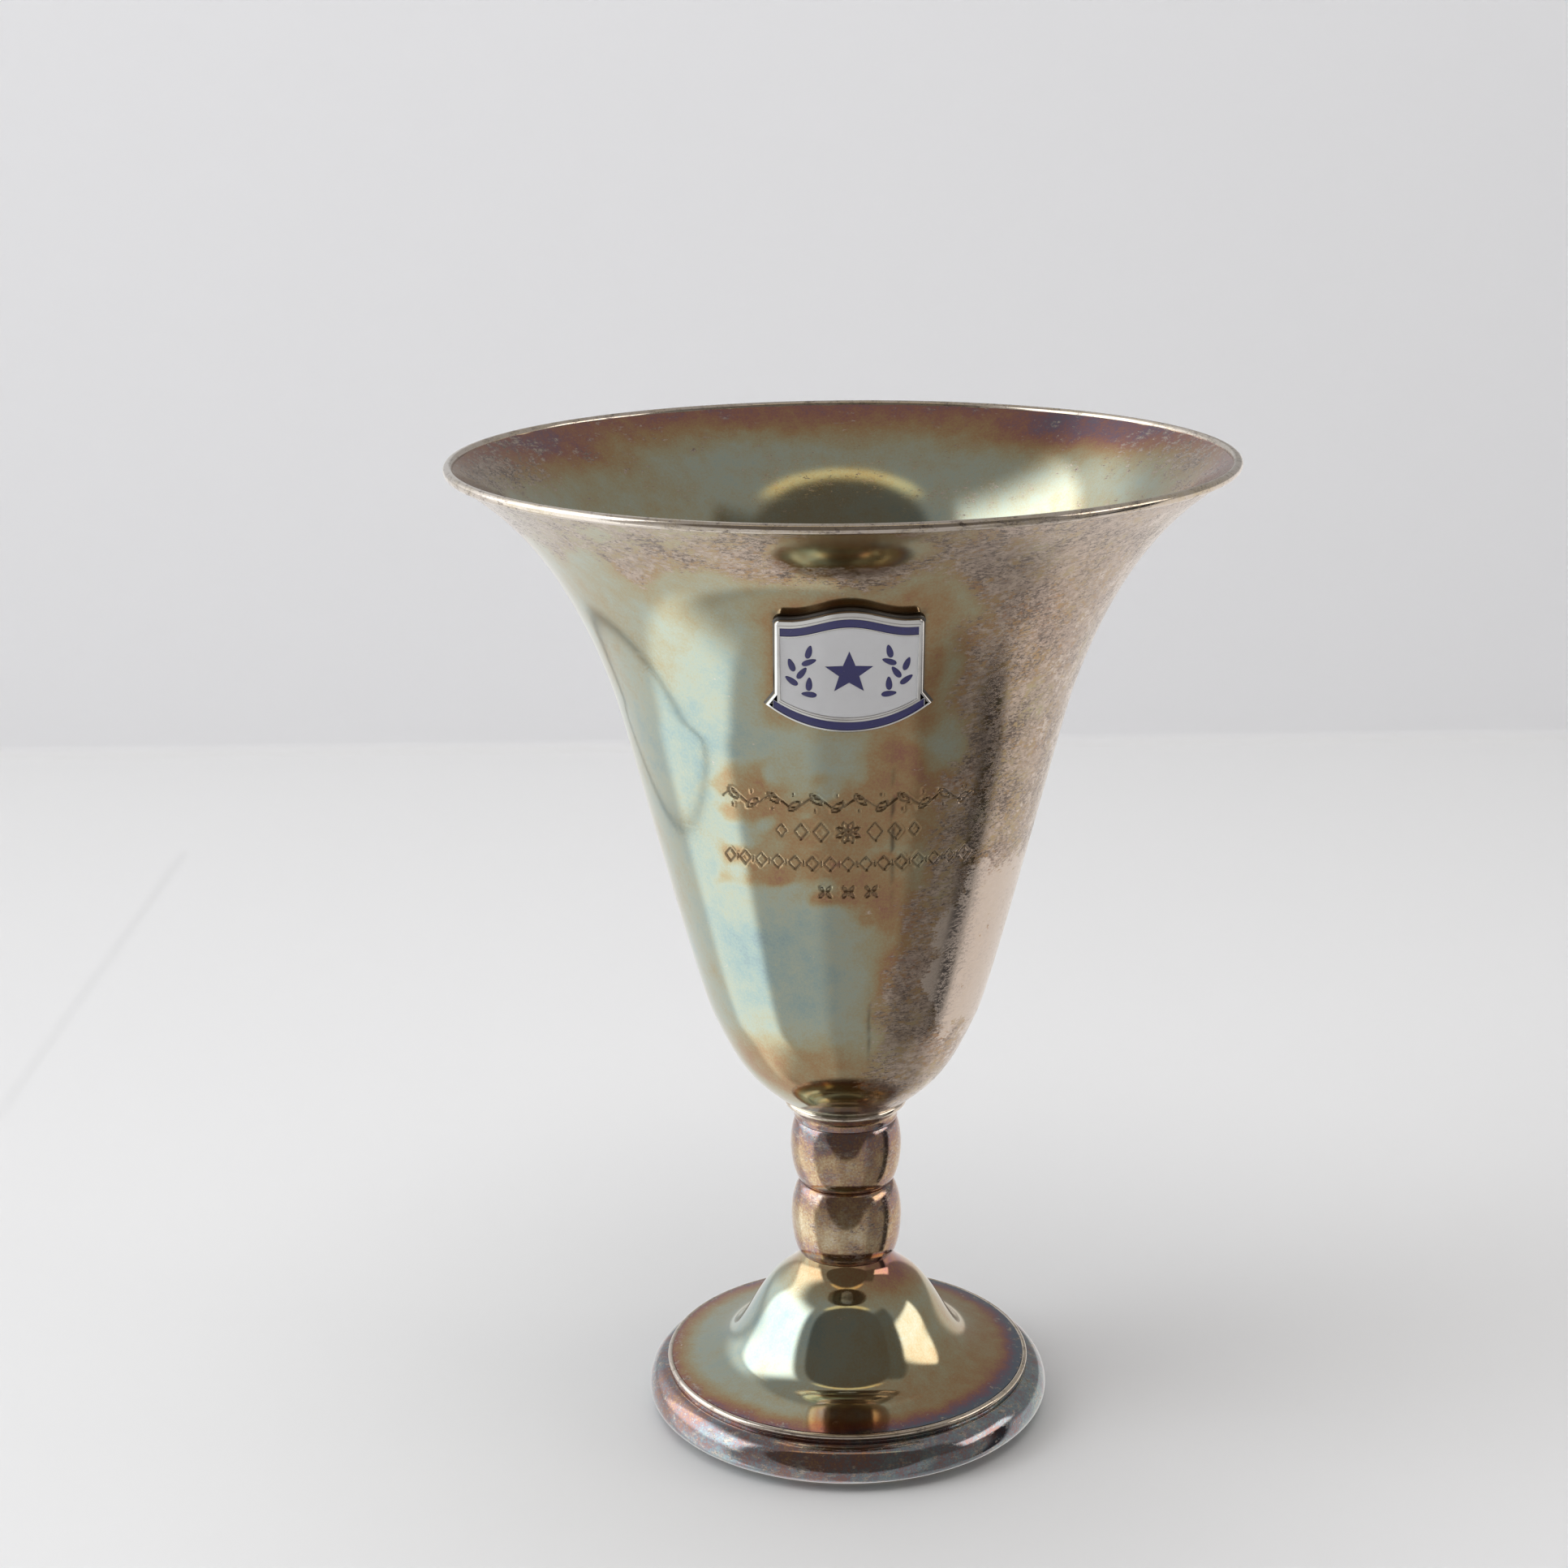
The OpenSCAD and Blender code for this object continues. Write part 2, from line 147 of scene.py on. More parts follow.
def spot(x: Array, y: Array, cx: float, cy: float, wx: float, wy: float) -> Array:
    """A soft round spot, 1 at (cx, cy), that fades over widths wx and wy."""
    return np.exp(-(((x - cx) / wx) ** 2) - ((y - cy) / wy) ** 2)


def mottle(x: Array, y: Array, size: float, seed: int, closed: Array | None = None) -> Array:
    """Soft random mottling of about unit spread.

    Args:
        x: First coordinate.
        y: Second coordinate.
        size: Width of the blotches, in the coordinates' unit.
        seed: Picks the pattern.
        closed: Azimuths round a closed wall. The mottling fades out where they meet.

    Returns:
        A value for each place.
    """
    draw, total = np.random.default_rng(seed), 0 * x
    for _ in range(9):
        turn, phase = draw.uniform(0, 2 * math.pi, 2)
        wave = math.pi / (size * draw.uniform(0.7, 1.6))
        total += np.cos(wave * (x * math.cos(turn) + y * math.sin(turn)) + phase)
    if closed is not None:
        total *= smooth(180, 166, np.abs(closed))
    return total / 2.1


def segment_distance(p: Array, lines: list[Array]) -> Array:
    """Distance from each point to the nearest of several polylines."""
    best = np.full(len(p), 1e9)
    for line in lines:
        lo, hi = line.min(0) - 1, line.max(0) + 1
        near = np.flatnonzero(((p > lo) & (p < hi)).all(1))
        if not len(near):
            continue
        q = p[near]
        for a, b in zip(line[:-1], line[1:]):
            ab = b - a
            t = np.clip(((q - a) @ ab) / max(ab @ ab, 1e-12), 0, 1)
            best[near] = np.minimum(best[near], np.linalg.norm(q - a - t[:, None] * ab, axis=1))
    return best


# Meshes ---------------------------------------------------------------------------------------


def in_scene(name: str, data: bpy.types.ID) -> bpy.types.Object:
    """A new object on the given data, linked to the scene."""
    obj = bpy.data.objects.new(name, data)
    bpy.context.scene.collection.objects.link(obj)
    return obj


def spun(r: Array | float, a: Array, z: Array | float) -> Array:
    """Points at radii r, azimuths a in radians and heights z, broadcast together."""
    return np.stack(np.broadcast_arrays(r * np.sin(a), -r * np.cos(a), z), -1)


@dataclass
class Solid:
    """Vertices in millimetres and faces, gathered before they become a Blender mesh."""

    points: Array = field(default_factory=lambda: np.zeros((0, 3)))
    faces: list[tuple[int, ...]] = field(default_factory=list)
    paint: dict[str, Array] = field(default_factory=dict)

    def add(self, other: "Solid") -> "Solid":
        """Takes in another solid's points and faces."""
        n = len(self.points)
        self.points = np.concatenate([self.points, other.points])
        self.faces += [tuple(i + n for i in f) for f in other.faces]
        return self

    def volume(self) -> float:
        """Signed volume, positive when the faces point outwards."""
        total = 0.0
        for f in self.faces:
            a = self.points[f[0]]
            for i in range(1, len(f) - 1):
                total += a @ np.cross(self.points[f[i]], self.points[f[i + 1]])
        return total / 6

    def make(self, name: str, crease: float = 40) -> bpy.types.Object:
        """Makes the Blender object, with outward faces and shading smooth up to a crease angle.

        Args:
            name: The piece's name.
            crease: Edges sharper than this many degrees stay sharp.

        Returns:
            The new object, linked to the scene.
        """
        if self.volume() < 0:
            self.faces = [f[::-1] for f in self.faces]
        mesh = bpy.data.meshes.new(name)
        mesh.from_pydata((self.points * MM).tolist(), [], self.faces)
        for key, values in self.paint.items():
            layer = mesh.attributes.new(key, "FLOAT", "POINT")
            layer.data.foreach_set("value", values.astype(np.float32))
        mesh.shade_smooth()
        mesh.set_sharp_from_angle(angle=math.radians(crease))
        mesh.update()
        return in_scene(name, mesh)


def turned(outline: Array, azimuths: Array) -> Solid:
    """Spins a closed outline about the Z axis.

    Args:
        outline: The closed outline, as (radius, height) pairs.
        azimuths: The columns' azimuths, in degrees, rising, over less than a full turn.

    Returns:
        The closed solid. A point on the axis becomes one vertex.
    """
    a = np.radians(azimuths)
    n, solid, first = len(a), Solid(), []
    for r, z in outline:
        first.append((len(solid.points), r < TINY))
        ring = np.array([[0, 0, z]]) if r < TINY else spun(r, a, z)
        solid.points = np.concatenate([solid.points, ring])
    for (i, i_pole), (j, j_pole) in zip(first, first[1:] + first[:1]):
        if i_pole and j_pole:
            continue
        for k in range(n):
            m = (k + 1) % n
            if i_pole:
                solid.faces.append((i, j + k, j + m))
            elif j_pole:
                solid.faces.append((i + k, j, i + m))
            else:
                solid.faces.append((i + k, j + k, j + m, i + m))
    return solid


def even_columns(n: int) -> Array:
    """n azimuths spaced evenly round the cup."""
    return np.arange(n) * 360 / n


def inside(points: Array, loop: Array) -> Array:
    """Which points lie inside a closed loop."""
    x, y = points[:, :1], points[:, 1:]
    x0, y0 = loop[:, 0], loop[:, 1]
    x1, y1 = np.roll(x0, -1), np.roll(y0, -1)
    crosses = ((y0 > y) != (y1 > y)) & (
        x < (x1 - x0) * (y - y0) / np.where(y1 == y0, 1e-12, y1 - y0) + x0)
    return crosses.sum(1) % 2 == 1


def filled(loops: list[Array], spacing: float) -> tuple[Array, list[tuple[int, ...]]]:
    """Triangles that fill an outline, less any holes.

    Args:
        loops: The outline, then its holes.
        spacing: Distance between the points that are added inside.

    Returns:
        The points, the loops' own points first and in order, and the triangles.
    """
    edges, n = [], 0
    for loop in loops:
        edges += [(n + i, n + (i + 1) % len(loop)) for i in range(len(loop))]
        n += len(loop)
    rim = np.concatenate(loops)
    lo, hi = rim.min(0), rim.max(0)
    grid = np.stack(np.meshgrid(np.arange(lo[0], hi[0], spacing),
                                np.arange(lo[1], hi[1], spacing)), -1).reshape(-1, 2)
    keep = inside(grid, loops[0])
    for hole in loops[1:]:
        keep &= ~inside(grid, hole)
    closed = [np.concatenate([loop, loop[:1]]) for loop in loops]
    keep &= segment_distance(grid, closed) > 0.4 * spacing
    points = np.concatenate([rim, grid[keep]])
    made = delaunay_2d_cdt([Vector(p) for p in points], edges, [], 0, 1e-7)
    where = [source[0] if source else -1 for source in made[3]]
    faces = np.array([[where[i] for i in f] for f in made[2]])
    middles = points[faces].mean(1)
    good = (faces.min(1) >= 0) & inside(middles, loops[0])
    for hole in loops[1:]:
        good &= ~inside(middles, hole)
    return points, [tuple(int(i) for i in f) for f in faces[good]]


# Geometry Nodes -------------------------------------------------------------------------------


class NodeMaker:
    """Adds nodes to a tree and links them, for geometry, shader and world trees alike."""

    def __init__(self, tree: bpy.types.NodeTree) -> None:
        """Starts on an empty tree."""
        self.tree = tree
        tree.nodes.clear()

    def add(self, kind: str, *inputs: object, **settings: object) -> bpy.types.Node:
        """Adds a node.

        Args:
            kind: The node's type name.
            inputs: One for each input socket in order: a value, a socket to link, or None.
            settings: Properties of the node, such as its operation.

        Returns:
            The new node.
        """
        node = self.tree.nodes.new(kind)
        for key, value in settings.items():
            setattr(node, key, value)
        for i, value in enumerate(inputs):
            if value is not None:
                self.set(node, i, value)
        return node

    def set(self, node: bpy.types.Node, key: int | str, value: object) -> None:
        """Gives a socket a value, or links another node's socket to it."""
        if isinstance(value, Socket):
            self.tree.links.new(value, node.inputs[key])
        else:
            node.inputs[key].default_value = value

    def math(self, operation: str, *inputs: object) -> Socket:
        """A Math node's result."""
        return self.add("ShaderNodeMath", *inputs, operation=operation).outputs[0]

    def sway(self, noise: Socket, reach: float, base: object) -> Socket:
        """A base value moved by a noise about 0.5, times its reach."""
        return self.math("MULTIPLY_ADD", self.math("SUBTRACT", noise, 0.5), reach, base)

    def named(self, kind: str, sockets: dict[str, object], *inputs: object) -> bpy.types.Node:
        """Adds a node and sets its sockets by name."""
        node = self.add(kind, *inputs)
        for key, value in sockets.items():
            self.set(node, key, value)
        return node

    def bump(self, strength: float, distance: float, height: object) -> Socket:
        """The normal of a fine relief, distance metres deep."""
        return self.named("ShaderNodeBump", {"Strength": strength, "Distance": distance,
                                             "Height": height}).outputs[0]

    def surface(self, sockets: dict[str, object]) -> None:
        """Ends a material in a Principled surface with these sockets."""
        node = self.named("ShaderNodeBsdfPrincipled", sockets)
        self.add("ShaderNodeOutputMaterial", node.outputs[0])

    def step(self, low: float, high: float, value: object) -> Socket:
        """A soft step from 0 at low to 1 at high."""
        node = self.add("ShaderNodeMapRange", value, low, high, 0.0, 1.0,
                        interpolation_type="SMOOTHSTEP")
        return node.outputs[0]

    def blend(self, share: object, a: object, b: object) -> Socket:
        """Colour a with b laid over it by share."""
        node = self.add("ShaderNodeMix", data_type="RGBA")
        self.set(node, 0, share)
        self.set(node, 6, a)
        self.set(node, 7, b)
        return node.outputs[2]


def add_socket(tree: bpy.types.NodeTree, name: str, kind: str, is_input: bool = True) -> str:
    """Adds a named input or output to a node group and returns its identifier."""
    direction = "INPUT" if is_input else "OUTPUT"
    return tree.interface.new_socket(name, in_out=direction, socket_type=kind).identifier


class GrownPiece(ABC):
    """A piece that a Geometry Nodes tree makes, turned into a plain mesh."""

    def __init__(self, name: str) -> None:
        """Makes the empty tree with its geometry sockets."""
        self.name = name
        self.tree = bpy.data.node_groups.new(name + "_tree", "GeometryNodeTree")
        self.maker = NodeMaker(self.tree)
        self.identifiers: dict[str, str] = {}
        add_socket(self.tree, "Geometry", "NodeSocketGeometry")
        add_socket(self.tree, "Geometry", "NodeSocketGeometry", False)

    def named_input(self, name: str, kind: str = "NodeSocketFloat") -> None:
        """Adds one named size to the tree."""
        self.identifiers[name] = add_socket(self.tree, name, kind)

    @abstractmethod
    def plan(self) -> None:
        """Adds the tree's nodes."""

    def finish_tree(self, group_in: bpy.types.Node, geometry: Socket) -> None:
        """Ends the tree in Realize Instances and Set Material."""
        realized = self.maker.add("GeometryNodeRealizeInstances", geometry)
        shaded = self.maker.add("GeometryNodeSetShadeSmooth", realized.outputs[0])
        dressed = self.maker.add("GeometryNodeSetMaterial", shaded.outputs[0])
        self.maker.set(dressed, "Material", group_in.outputs["Material"])
        self.maker.add("NodeGroupOutput", dressed.outputs[0])

    def grow(self, start: bpy.types.Mesh, values: dict[str, object]) -> bpy.types.Mesh:
        """Runs the tree on a mesh and returns the result as a plain mesh."""
        obj = in_scene(self.name + "_seed", start)
        modifier = obj.modifiers.new("grow", "NODES")
        modifier.node_group = self.tree
        for key, value in values.items():
            modifier[self.identifiers[key]] = value
        depsgraph = bpy.context.evaluated_depsgraph_get()
        mesh = bpy.data.meshes.new_from_object(obj.evaluated_get(depsgraph))
        obj.modifiers.remove(modifier)
        bpy.data.objects.remove(obj)
        bpy.data.node_groups.remove(self.tree)
        return mesh


class SweptWire(GrownPiece):
    """A round wire that follows the edges of a path mesh."""

    def __init__(self, name: str) -> None:
        """Makes the tree with its named sizes."""
        super().__init__(name)
        self.named_input("Wire radius")
        self.named_input("Section sides", "NodeSocketInt")
        self.named_input("Material", "NodeSocketMaterial")
        self.plan()

    def plan(self) -> None:
        """Path edges to a curve, and a round section swept along it."""
        add = self.maker.add
        group_in = add("NodeGroupInput")
        path = add("GeometryNodeMeshToCurve", group_in.outputs[0])
        section = add("GeometryNodeCurvePrimitiveCircle")
        self.maker.set(section, "Resolution", group_in.outputs["Section sides"])
        self.maker.set(section, "Radius", group_in.outputs["Wire radius"])
        swept = add("GeometryNodeCurveToMesh", path.outputs[0], section.outputs[0])
        self.maker.set(swept, "Fill Caps", True)
        self.finish_tree(group_in, swept.outputs[0])


def path_mesh(name: str, paths: list[tuple[Array, bool]]) -> bpy.types.Mesh:
    """A mesh of bare edges, one chain for each path.

    Args:
        name: The mesh's name.
        paths: Points in millimetres, and whether the path is a closed loop.

    Returns:
        The mesh, in metres.
    """
    points, edges = np.zeros((0, 3)), []
    for path, closed in paths:
        n, count = len(points), len(path)
        edges += [(n + i, n + i + 1) for i in range(count - 1)]
        if closed:
            edges.append((n + count - 1, n))
        points = np.concatenate([points, path])
    mesh = bpy.data.meshes.new(name)
    mesh.from_pydata((points * MM).tolist(), edges, [])
    return mesh


def swept_solid(name: str, paths: list[tuple[Array, bool]], radius: float, sides: int,
                material: bpy.types.Material) -> Solid:
    """Wires of one radius along several paths, as a solid in millimetres."""
    mesh = SweptWire(name).grow(path_mesh(name, paths), {
        "Wire radius": radius * MM, "Section sides": sides, "Material": material})
    points = np.zeros(len(mesh.vertices) * 3)
    mesh.vertices.foreach_get("co", points)
    faces = [tuple(p.vertices) for p in mesh.polygons]
    bpy.data.meshes.remove(mesh)
    return Solid(points.reshape(-1, 3) / MM, faces)


# Finishes -------------------------------------------------------------------------------------


class Film(Enum):
    """Tones that a tarnish film takes as it thickens: place on the ramp, and colour."""

    BARE = (0.00, (0.70, 0.62, 0.55))
    STRAW = (0.10, (0.62, 0.51, 0.34))
    COPPER = (0.20, (0.47, 0.31, 0.18))
    PLUM = (0.28, (0.32, 0.19, 0.18))
    SLATE = (0.36, (0.25, 0.29, 0.33))
    TEAL = (0.46, (0.33, 0.42, 0.40))
    SAGE = (0.56, (0.44, 0.47, 0.38))
    OLIVE = (0.66, (0.44, 0.39, 0.25))
    AMBER = (0.77, (0.42, 0.27, 0.14))
    ROSE = (0.86, (0.36, 0.17, 0.13))
    VIOLET = (0.93, (0.24, 0.15, 0.19))
    INK = (1.00, (0.16, 0.19, 0.24))

    @property
    def place(self) -> float:
        """Place on the ramp, 0 to 1."""
        return self.value[0]

    @property
    def colour(self) -> Triple:
        """The tone's linear colour."""
        return self.value[1]


class Coordinates(Enum):
    """What places a finish's pattern on its piece."""

    OBJECT = "Object"
    PAINTED = "Painted"


def opaque(colour: Triple, gain: float = 1.0) -> tuple[float, float, float, float]:
    """The colour times a gain, with full alpha."""
    return (*[c * gain for c in colour], 1)


def new_material(name: str) -> tuple[bpy.types.Material, NodeMaker]:
    """An empty node material and the maker for its tree."""
    material = bpy.data.materials.new(name)
    material.use_nodes = True
    return material, NodeMaker(material.node_tree)


def film_ramp(maker: NodeMaker, value: Socket) -> Socket:
    """Colour of the tarnish film for its thickness."""
    ramp = maker.add("ShaderNodeValToRGB", value)
    elements = ramp.color_ramp.elements
    for i, tone in enumerate(Film):
        element = elements[i] if i < len(elements) else elements.new(tone.place)
        element.position = tone.place
        element.color = opaque(tone.colour)
    return ramp.outputs[0]


@dataclass(frozen=True)
class TarnishedSilver:
    """Silver under a sulphide film, with worn and speckled places.

    The painted kind reads the piece's own attributes: film is the thickness, wear the share of
    speckled metal, bare the share of smooth rubbed metal, cut the share of engraved groove, which
    is darkened as painted shade, and the dark-mark field the thin dark streaks and a narrow band
    round the badge, which take the same dark colour.
    """

    name: str
    source: Coordinates = Coordinates.OBJECT
    film: float = 0.6
    film_drift: float = 0.1
    wear: float = 0.3
    bare: float = 0.0
    roughness: float = 0.10
    worn_colour: Triple = (0.42, 0.345, 0.29)
    pit_colour: Triple = (0.10, 0.075, 0.065)
    bare_colour: Triple = (0.66, 0.56, 0.48)
    shade_and_mark_colour: Triple = (0.05, 0.045, 0.04)
    worn_cover: float = 0.82
    pit_cover: float = 0.72
    bare_cover: float = 0.85
    shade_and_mark_cover: float = 0.68
    scuff: float = 0.025

    def field(self, maker: NodeMaker, key: str, fallback: float) -> object:
        """The painted attribute, or a fixed value on a piece with none."""
        if self.source is Coordinates.PAINTED:
            return maker.add("ShaderNodeAttribute", attribute_name=key).outputs["Fac"]
        return fallback

    def make(self) -> bpy.types.Material:
        """Builds the material."""
        material, m = new_material(self.name)
        place = m.add("ShaderNodeTexCoord").outputs["Object"]

        def noise(scale: float, detail: float = 3.0, rough: float = 0.55,
                  stretch: Triple = (1, 1, 1)) -> Socket:
            """Noise with features 1/scale metres long."""
            mapped = m.named("ShaderNodeMapping", {"Scale": stretch}, place)
            sockets = {"Scale": scale, "Detail": detail, "Roughness": rough}
            return m.named("ShaderNodeTexNoise", sockets, mapped.outputs[0]).outputs[0]

        broad, fine, grain = noise(38), noise(330, 4), noise(2600, 4, 0.75)
        drift = self.field(m, "film", self.film)
        for pattern, share in ((broad, 2.2), (fine, 2.0), (grain, 2.4)):
            drift = m.sway(pattern, self.film_drift * share, drift)
        film_colour = film_ramp(m, drift)

        # Worn metal breaks up into grains, and its edge is ragged.
        streaks = noise(2000, 5, 0.8, (0.4, 0.4, 1.4))
        flecks = noise(1000, 4, 0.75, (0.7, 0.7, 1.3))
        ragged = self.field(m, "wear", self.wear)
        for pattern, reach in ((flecks, 1.0), (fine, 0.8), (streaks, 1.5)):
            ragged = m.sway(pattern, reach, ragged)
        worn = m.step(0.38, 0.62, ragged)
        specks = m.sway(noise(150, 4, 0.65), 0.45, noise(2500, 4, 0.85, (0.45, 0.45, 1.3)))
        pits = m.math("MULTIPLY", m.step(0.49, 0.60, specks), worn)
        worn_colour = m.blend(m.step(0.3, 0.7, flecks), opaque(self.worn_colour, 0.75),
                              opaque(self.worn_colour, 1.45))
        colour = m.blend(m.math("MULTIPLY", worn, self.worn_cover), film_colour, worn_colour)
        colour = m.blend(m.math("MULTIPLY", pits, self.pit_cover), colour,
                         opaque(self.pit_colour))

        # Rubbed metal shows in smooth islands with torn edges.
        torn = m.sway(noise(200, 6, 0.75), 2.2, self.field(m, "bare", self.bare))
        islands = m.step(0.46, 0.56, m.sway(streaks, 1.3, torn))
        colour = m.blend(m.math("MULTIPLY", islands, self.bare_cover), colour,
                         opaque(self.bare_colour))
        # Painted shade: the engraved grooves are darkened, and the thin dark marks take the same
        # dark colour.
        dark = m.math("MAXIMUM", self.field(m, "cut", 0.0), self.field(m, "dark_marks", 0.0))
        colour = m.blend(m.math("MULTIPLY", dark, self.shade_and_mark_cover), colour,
                         opaque(self.shade_and_mark_colour))

        scratches = m.step(0.60, 0.72, noise(420, 2, 0.5, (0.06, 0.3, 2.5)))
        rough = m.math("MULTIPLY_ADD", worn, 0.04, self.roughness)
        rough = m.math("MULTIPLY_ADD", pits, 0.12, rough)
        rough = m.math("MULTIPLY_ADD", scratches, self.scuff, rough)
        rough = m.sway(broad, 0.05, rough)

        relief = m.math("MULTIPLY_ADD", pits, -1.0, m.math("MULTIPLY", grain, 0.35))
        m.surface({"Metallic": 1.0, "Base Color": colour, "Roughness": rough,
                   "Normal": m.bump(0.12, 0.00005, relief)})
        return material


@dataclass(frozen=True)
class PlainMetal:
    """Clean or dull metal with a fine grain."""

    name: str
    colour: Triple
    roughness: float = 0.2
    grime: float = 0.2

    def make(self) -> bpy.types.Material:
        """Builds the material."""
        material, m = new_material(self.name)
        place = m.add("ShaderNodeTexCoord").outputs["Object"]
        coarse, fine = (m.named("ShaderNodeTexNoise", {"Scale": scale}, place).outputs[0]
                        for scale in (240.0, 2600.0))
        dirt = m.step(0.45, 0.75, coarse)
        colour = m.blend(m.math("MULTIPLY", dirt, self.grime * 2), opaque(self.colour),
                         opaque(self.colour, 0.45))
        rough = m.math("MULTIPLY_ADD", dirt, self.grime * 0.6, self.roughness)
        m.surface({"Metallic": 1.0, "Base Color": colour, "Roughness": rough,
                   "Normal": m.bump(0.1, 0.00003, fine)})
        return material


@dataclass(frozen=True)
class Enamel:
    """Opaque glass enamel, stoned flush and polished, with small pits."""

    name: str
    colour: Triple
    speck: Triple

    def make(self) -> bpy.types.Material:
        """Builds the material."""
        material, m = new_material(self.name)
        place = m.add("ShaderNodeTexCoord").outputs["Object"]
        cloud = m.named("ShaderNodeTexNoise", {"Scale": 420.0}, place).outputs[0]
        grain = m.named("ShaderNodeTexVoronoi", {"Scale": 1500.0}, place)
        specks = m.step(0.12, 0.05, grain.outputs["Distance"])
        colour = m.blend(cloud, opaque(self.colour), opaque(self.colour, 0.93))
        colour = m.blend(m.math("MULTIPLY", specks, 0.35), colour, opaque(self.speck))
        rough = m.math("MULTIPLY_ADD", specks, 0.2, 0.14)
        m.surface({"Base Color": colour, "Roughness": rough, "IOR": 1.52, "Coat Weight": 0.5,
                   "Coat Roughness": 0.06, "Normal": m.bump(0.08, 0.00008, cloud)})
        return material


class Finishes:
    """Every material of the cup, made once."""

    def __init__(self) -> None:
        """Builds the materials."""
        painted = Coordinates.PAINTED
        self.bowl = TarnishedSilver("bowl_silver", painted).make()
        self.foot = TarnishedSilver("foot_silver", painted, roughness=0.07).make()
        self.knop = TarnishedSilver("knop_silver", painted, film_drift=0.16).make()
        self.border = TarnishedSilver("border_silver", painted, film_drift=0.16,
                                      roughness=0.08).make()
        self.wire = TarnishedSilver("wire_silver", film=0.02, film_drift=0.08, wear=0.36,
                                    roughness=0.09, worn_colour=(0.36, 0.31, 0.28)).make()
        self.badge = PlainMetal("badge_silver", (0.80, 0.79, 0.78), 0.12, 0.12).make()
        self.solder = PlainMetal("solder_grey", (0.20, 0.19, 0.18), 0.45, 0.4).make()
        self.brass = PlainMetal("brass", (0.62, 0.44, 0.18), 0.3, 0.35).make()
        self.white = Enamel("white_enamel", (0.70, 0.70, 0.715), (0.45, 0.43, 0.40)).make()
        self.blue = Enamel("blue_enamel", (0.020, 0.018, 0.125), (0.08, 0.08, 0.18)).make()


# The cup's pieces -------------------------------------------------------------------------------


def place_piece(piece: bpy.types.Object, material: bpy.types.Material, slot: str,
                *nodes: str) -> None:
    """Dresses a finished piece and tells the frame what it stands for.

    Args:
        piece: The finished object.
        material: Its material.
        slot: The record's material slot. Not used.
        nodes: The CAD nodes that it replaces.
    """
    piece.data.materials.clear()
    piece.data.materials.append(material)
    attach(piece, ROOT)
    if nodes:
        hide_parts(*nodes)
    triangles = sum(len(p.vertices) - 2 for p in piece.data.polygons)
    log.info("%s: %d triangles, stands for %s", piece.name, triangles, ", ".join(nodes) or "-")


def place_ring(name: str, node: str, r: float, z: float, wire_r: float, columns: int,
               sides: int, material: bpy.types.Material) -> None:
    """Makes a ring of round wire about the cup's axis and places it.

    Args:
        name: The piece's name.
        node: The CAD node that it replaces.
        r: Radius of the ring's centre line.
        z: Height of the ring's centre line.
        wire_r: Radius of the wire.
        columns: Number of steps round the ring.
        sides: Number of sides of the wire's section.
        material: The wire's material.
    """
    path = spun(r, np.radians(even_columns(columns)), z)
    ring = swept_solid(name, [(path, True)], wire_r, sides, material)
    place_piece(ring.make(name), material, "wire_silver", node)


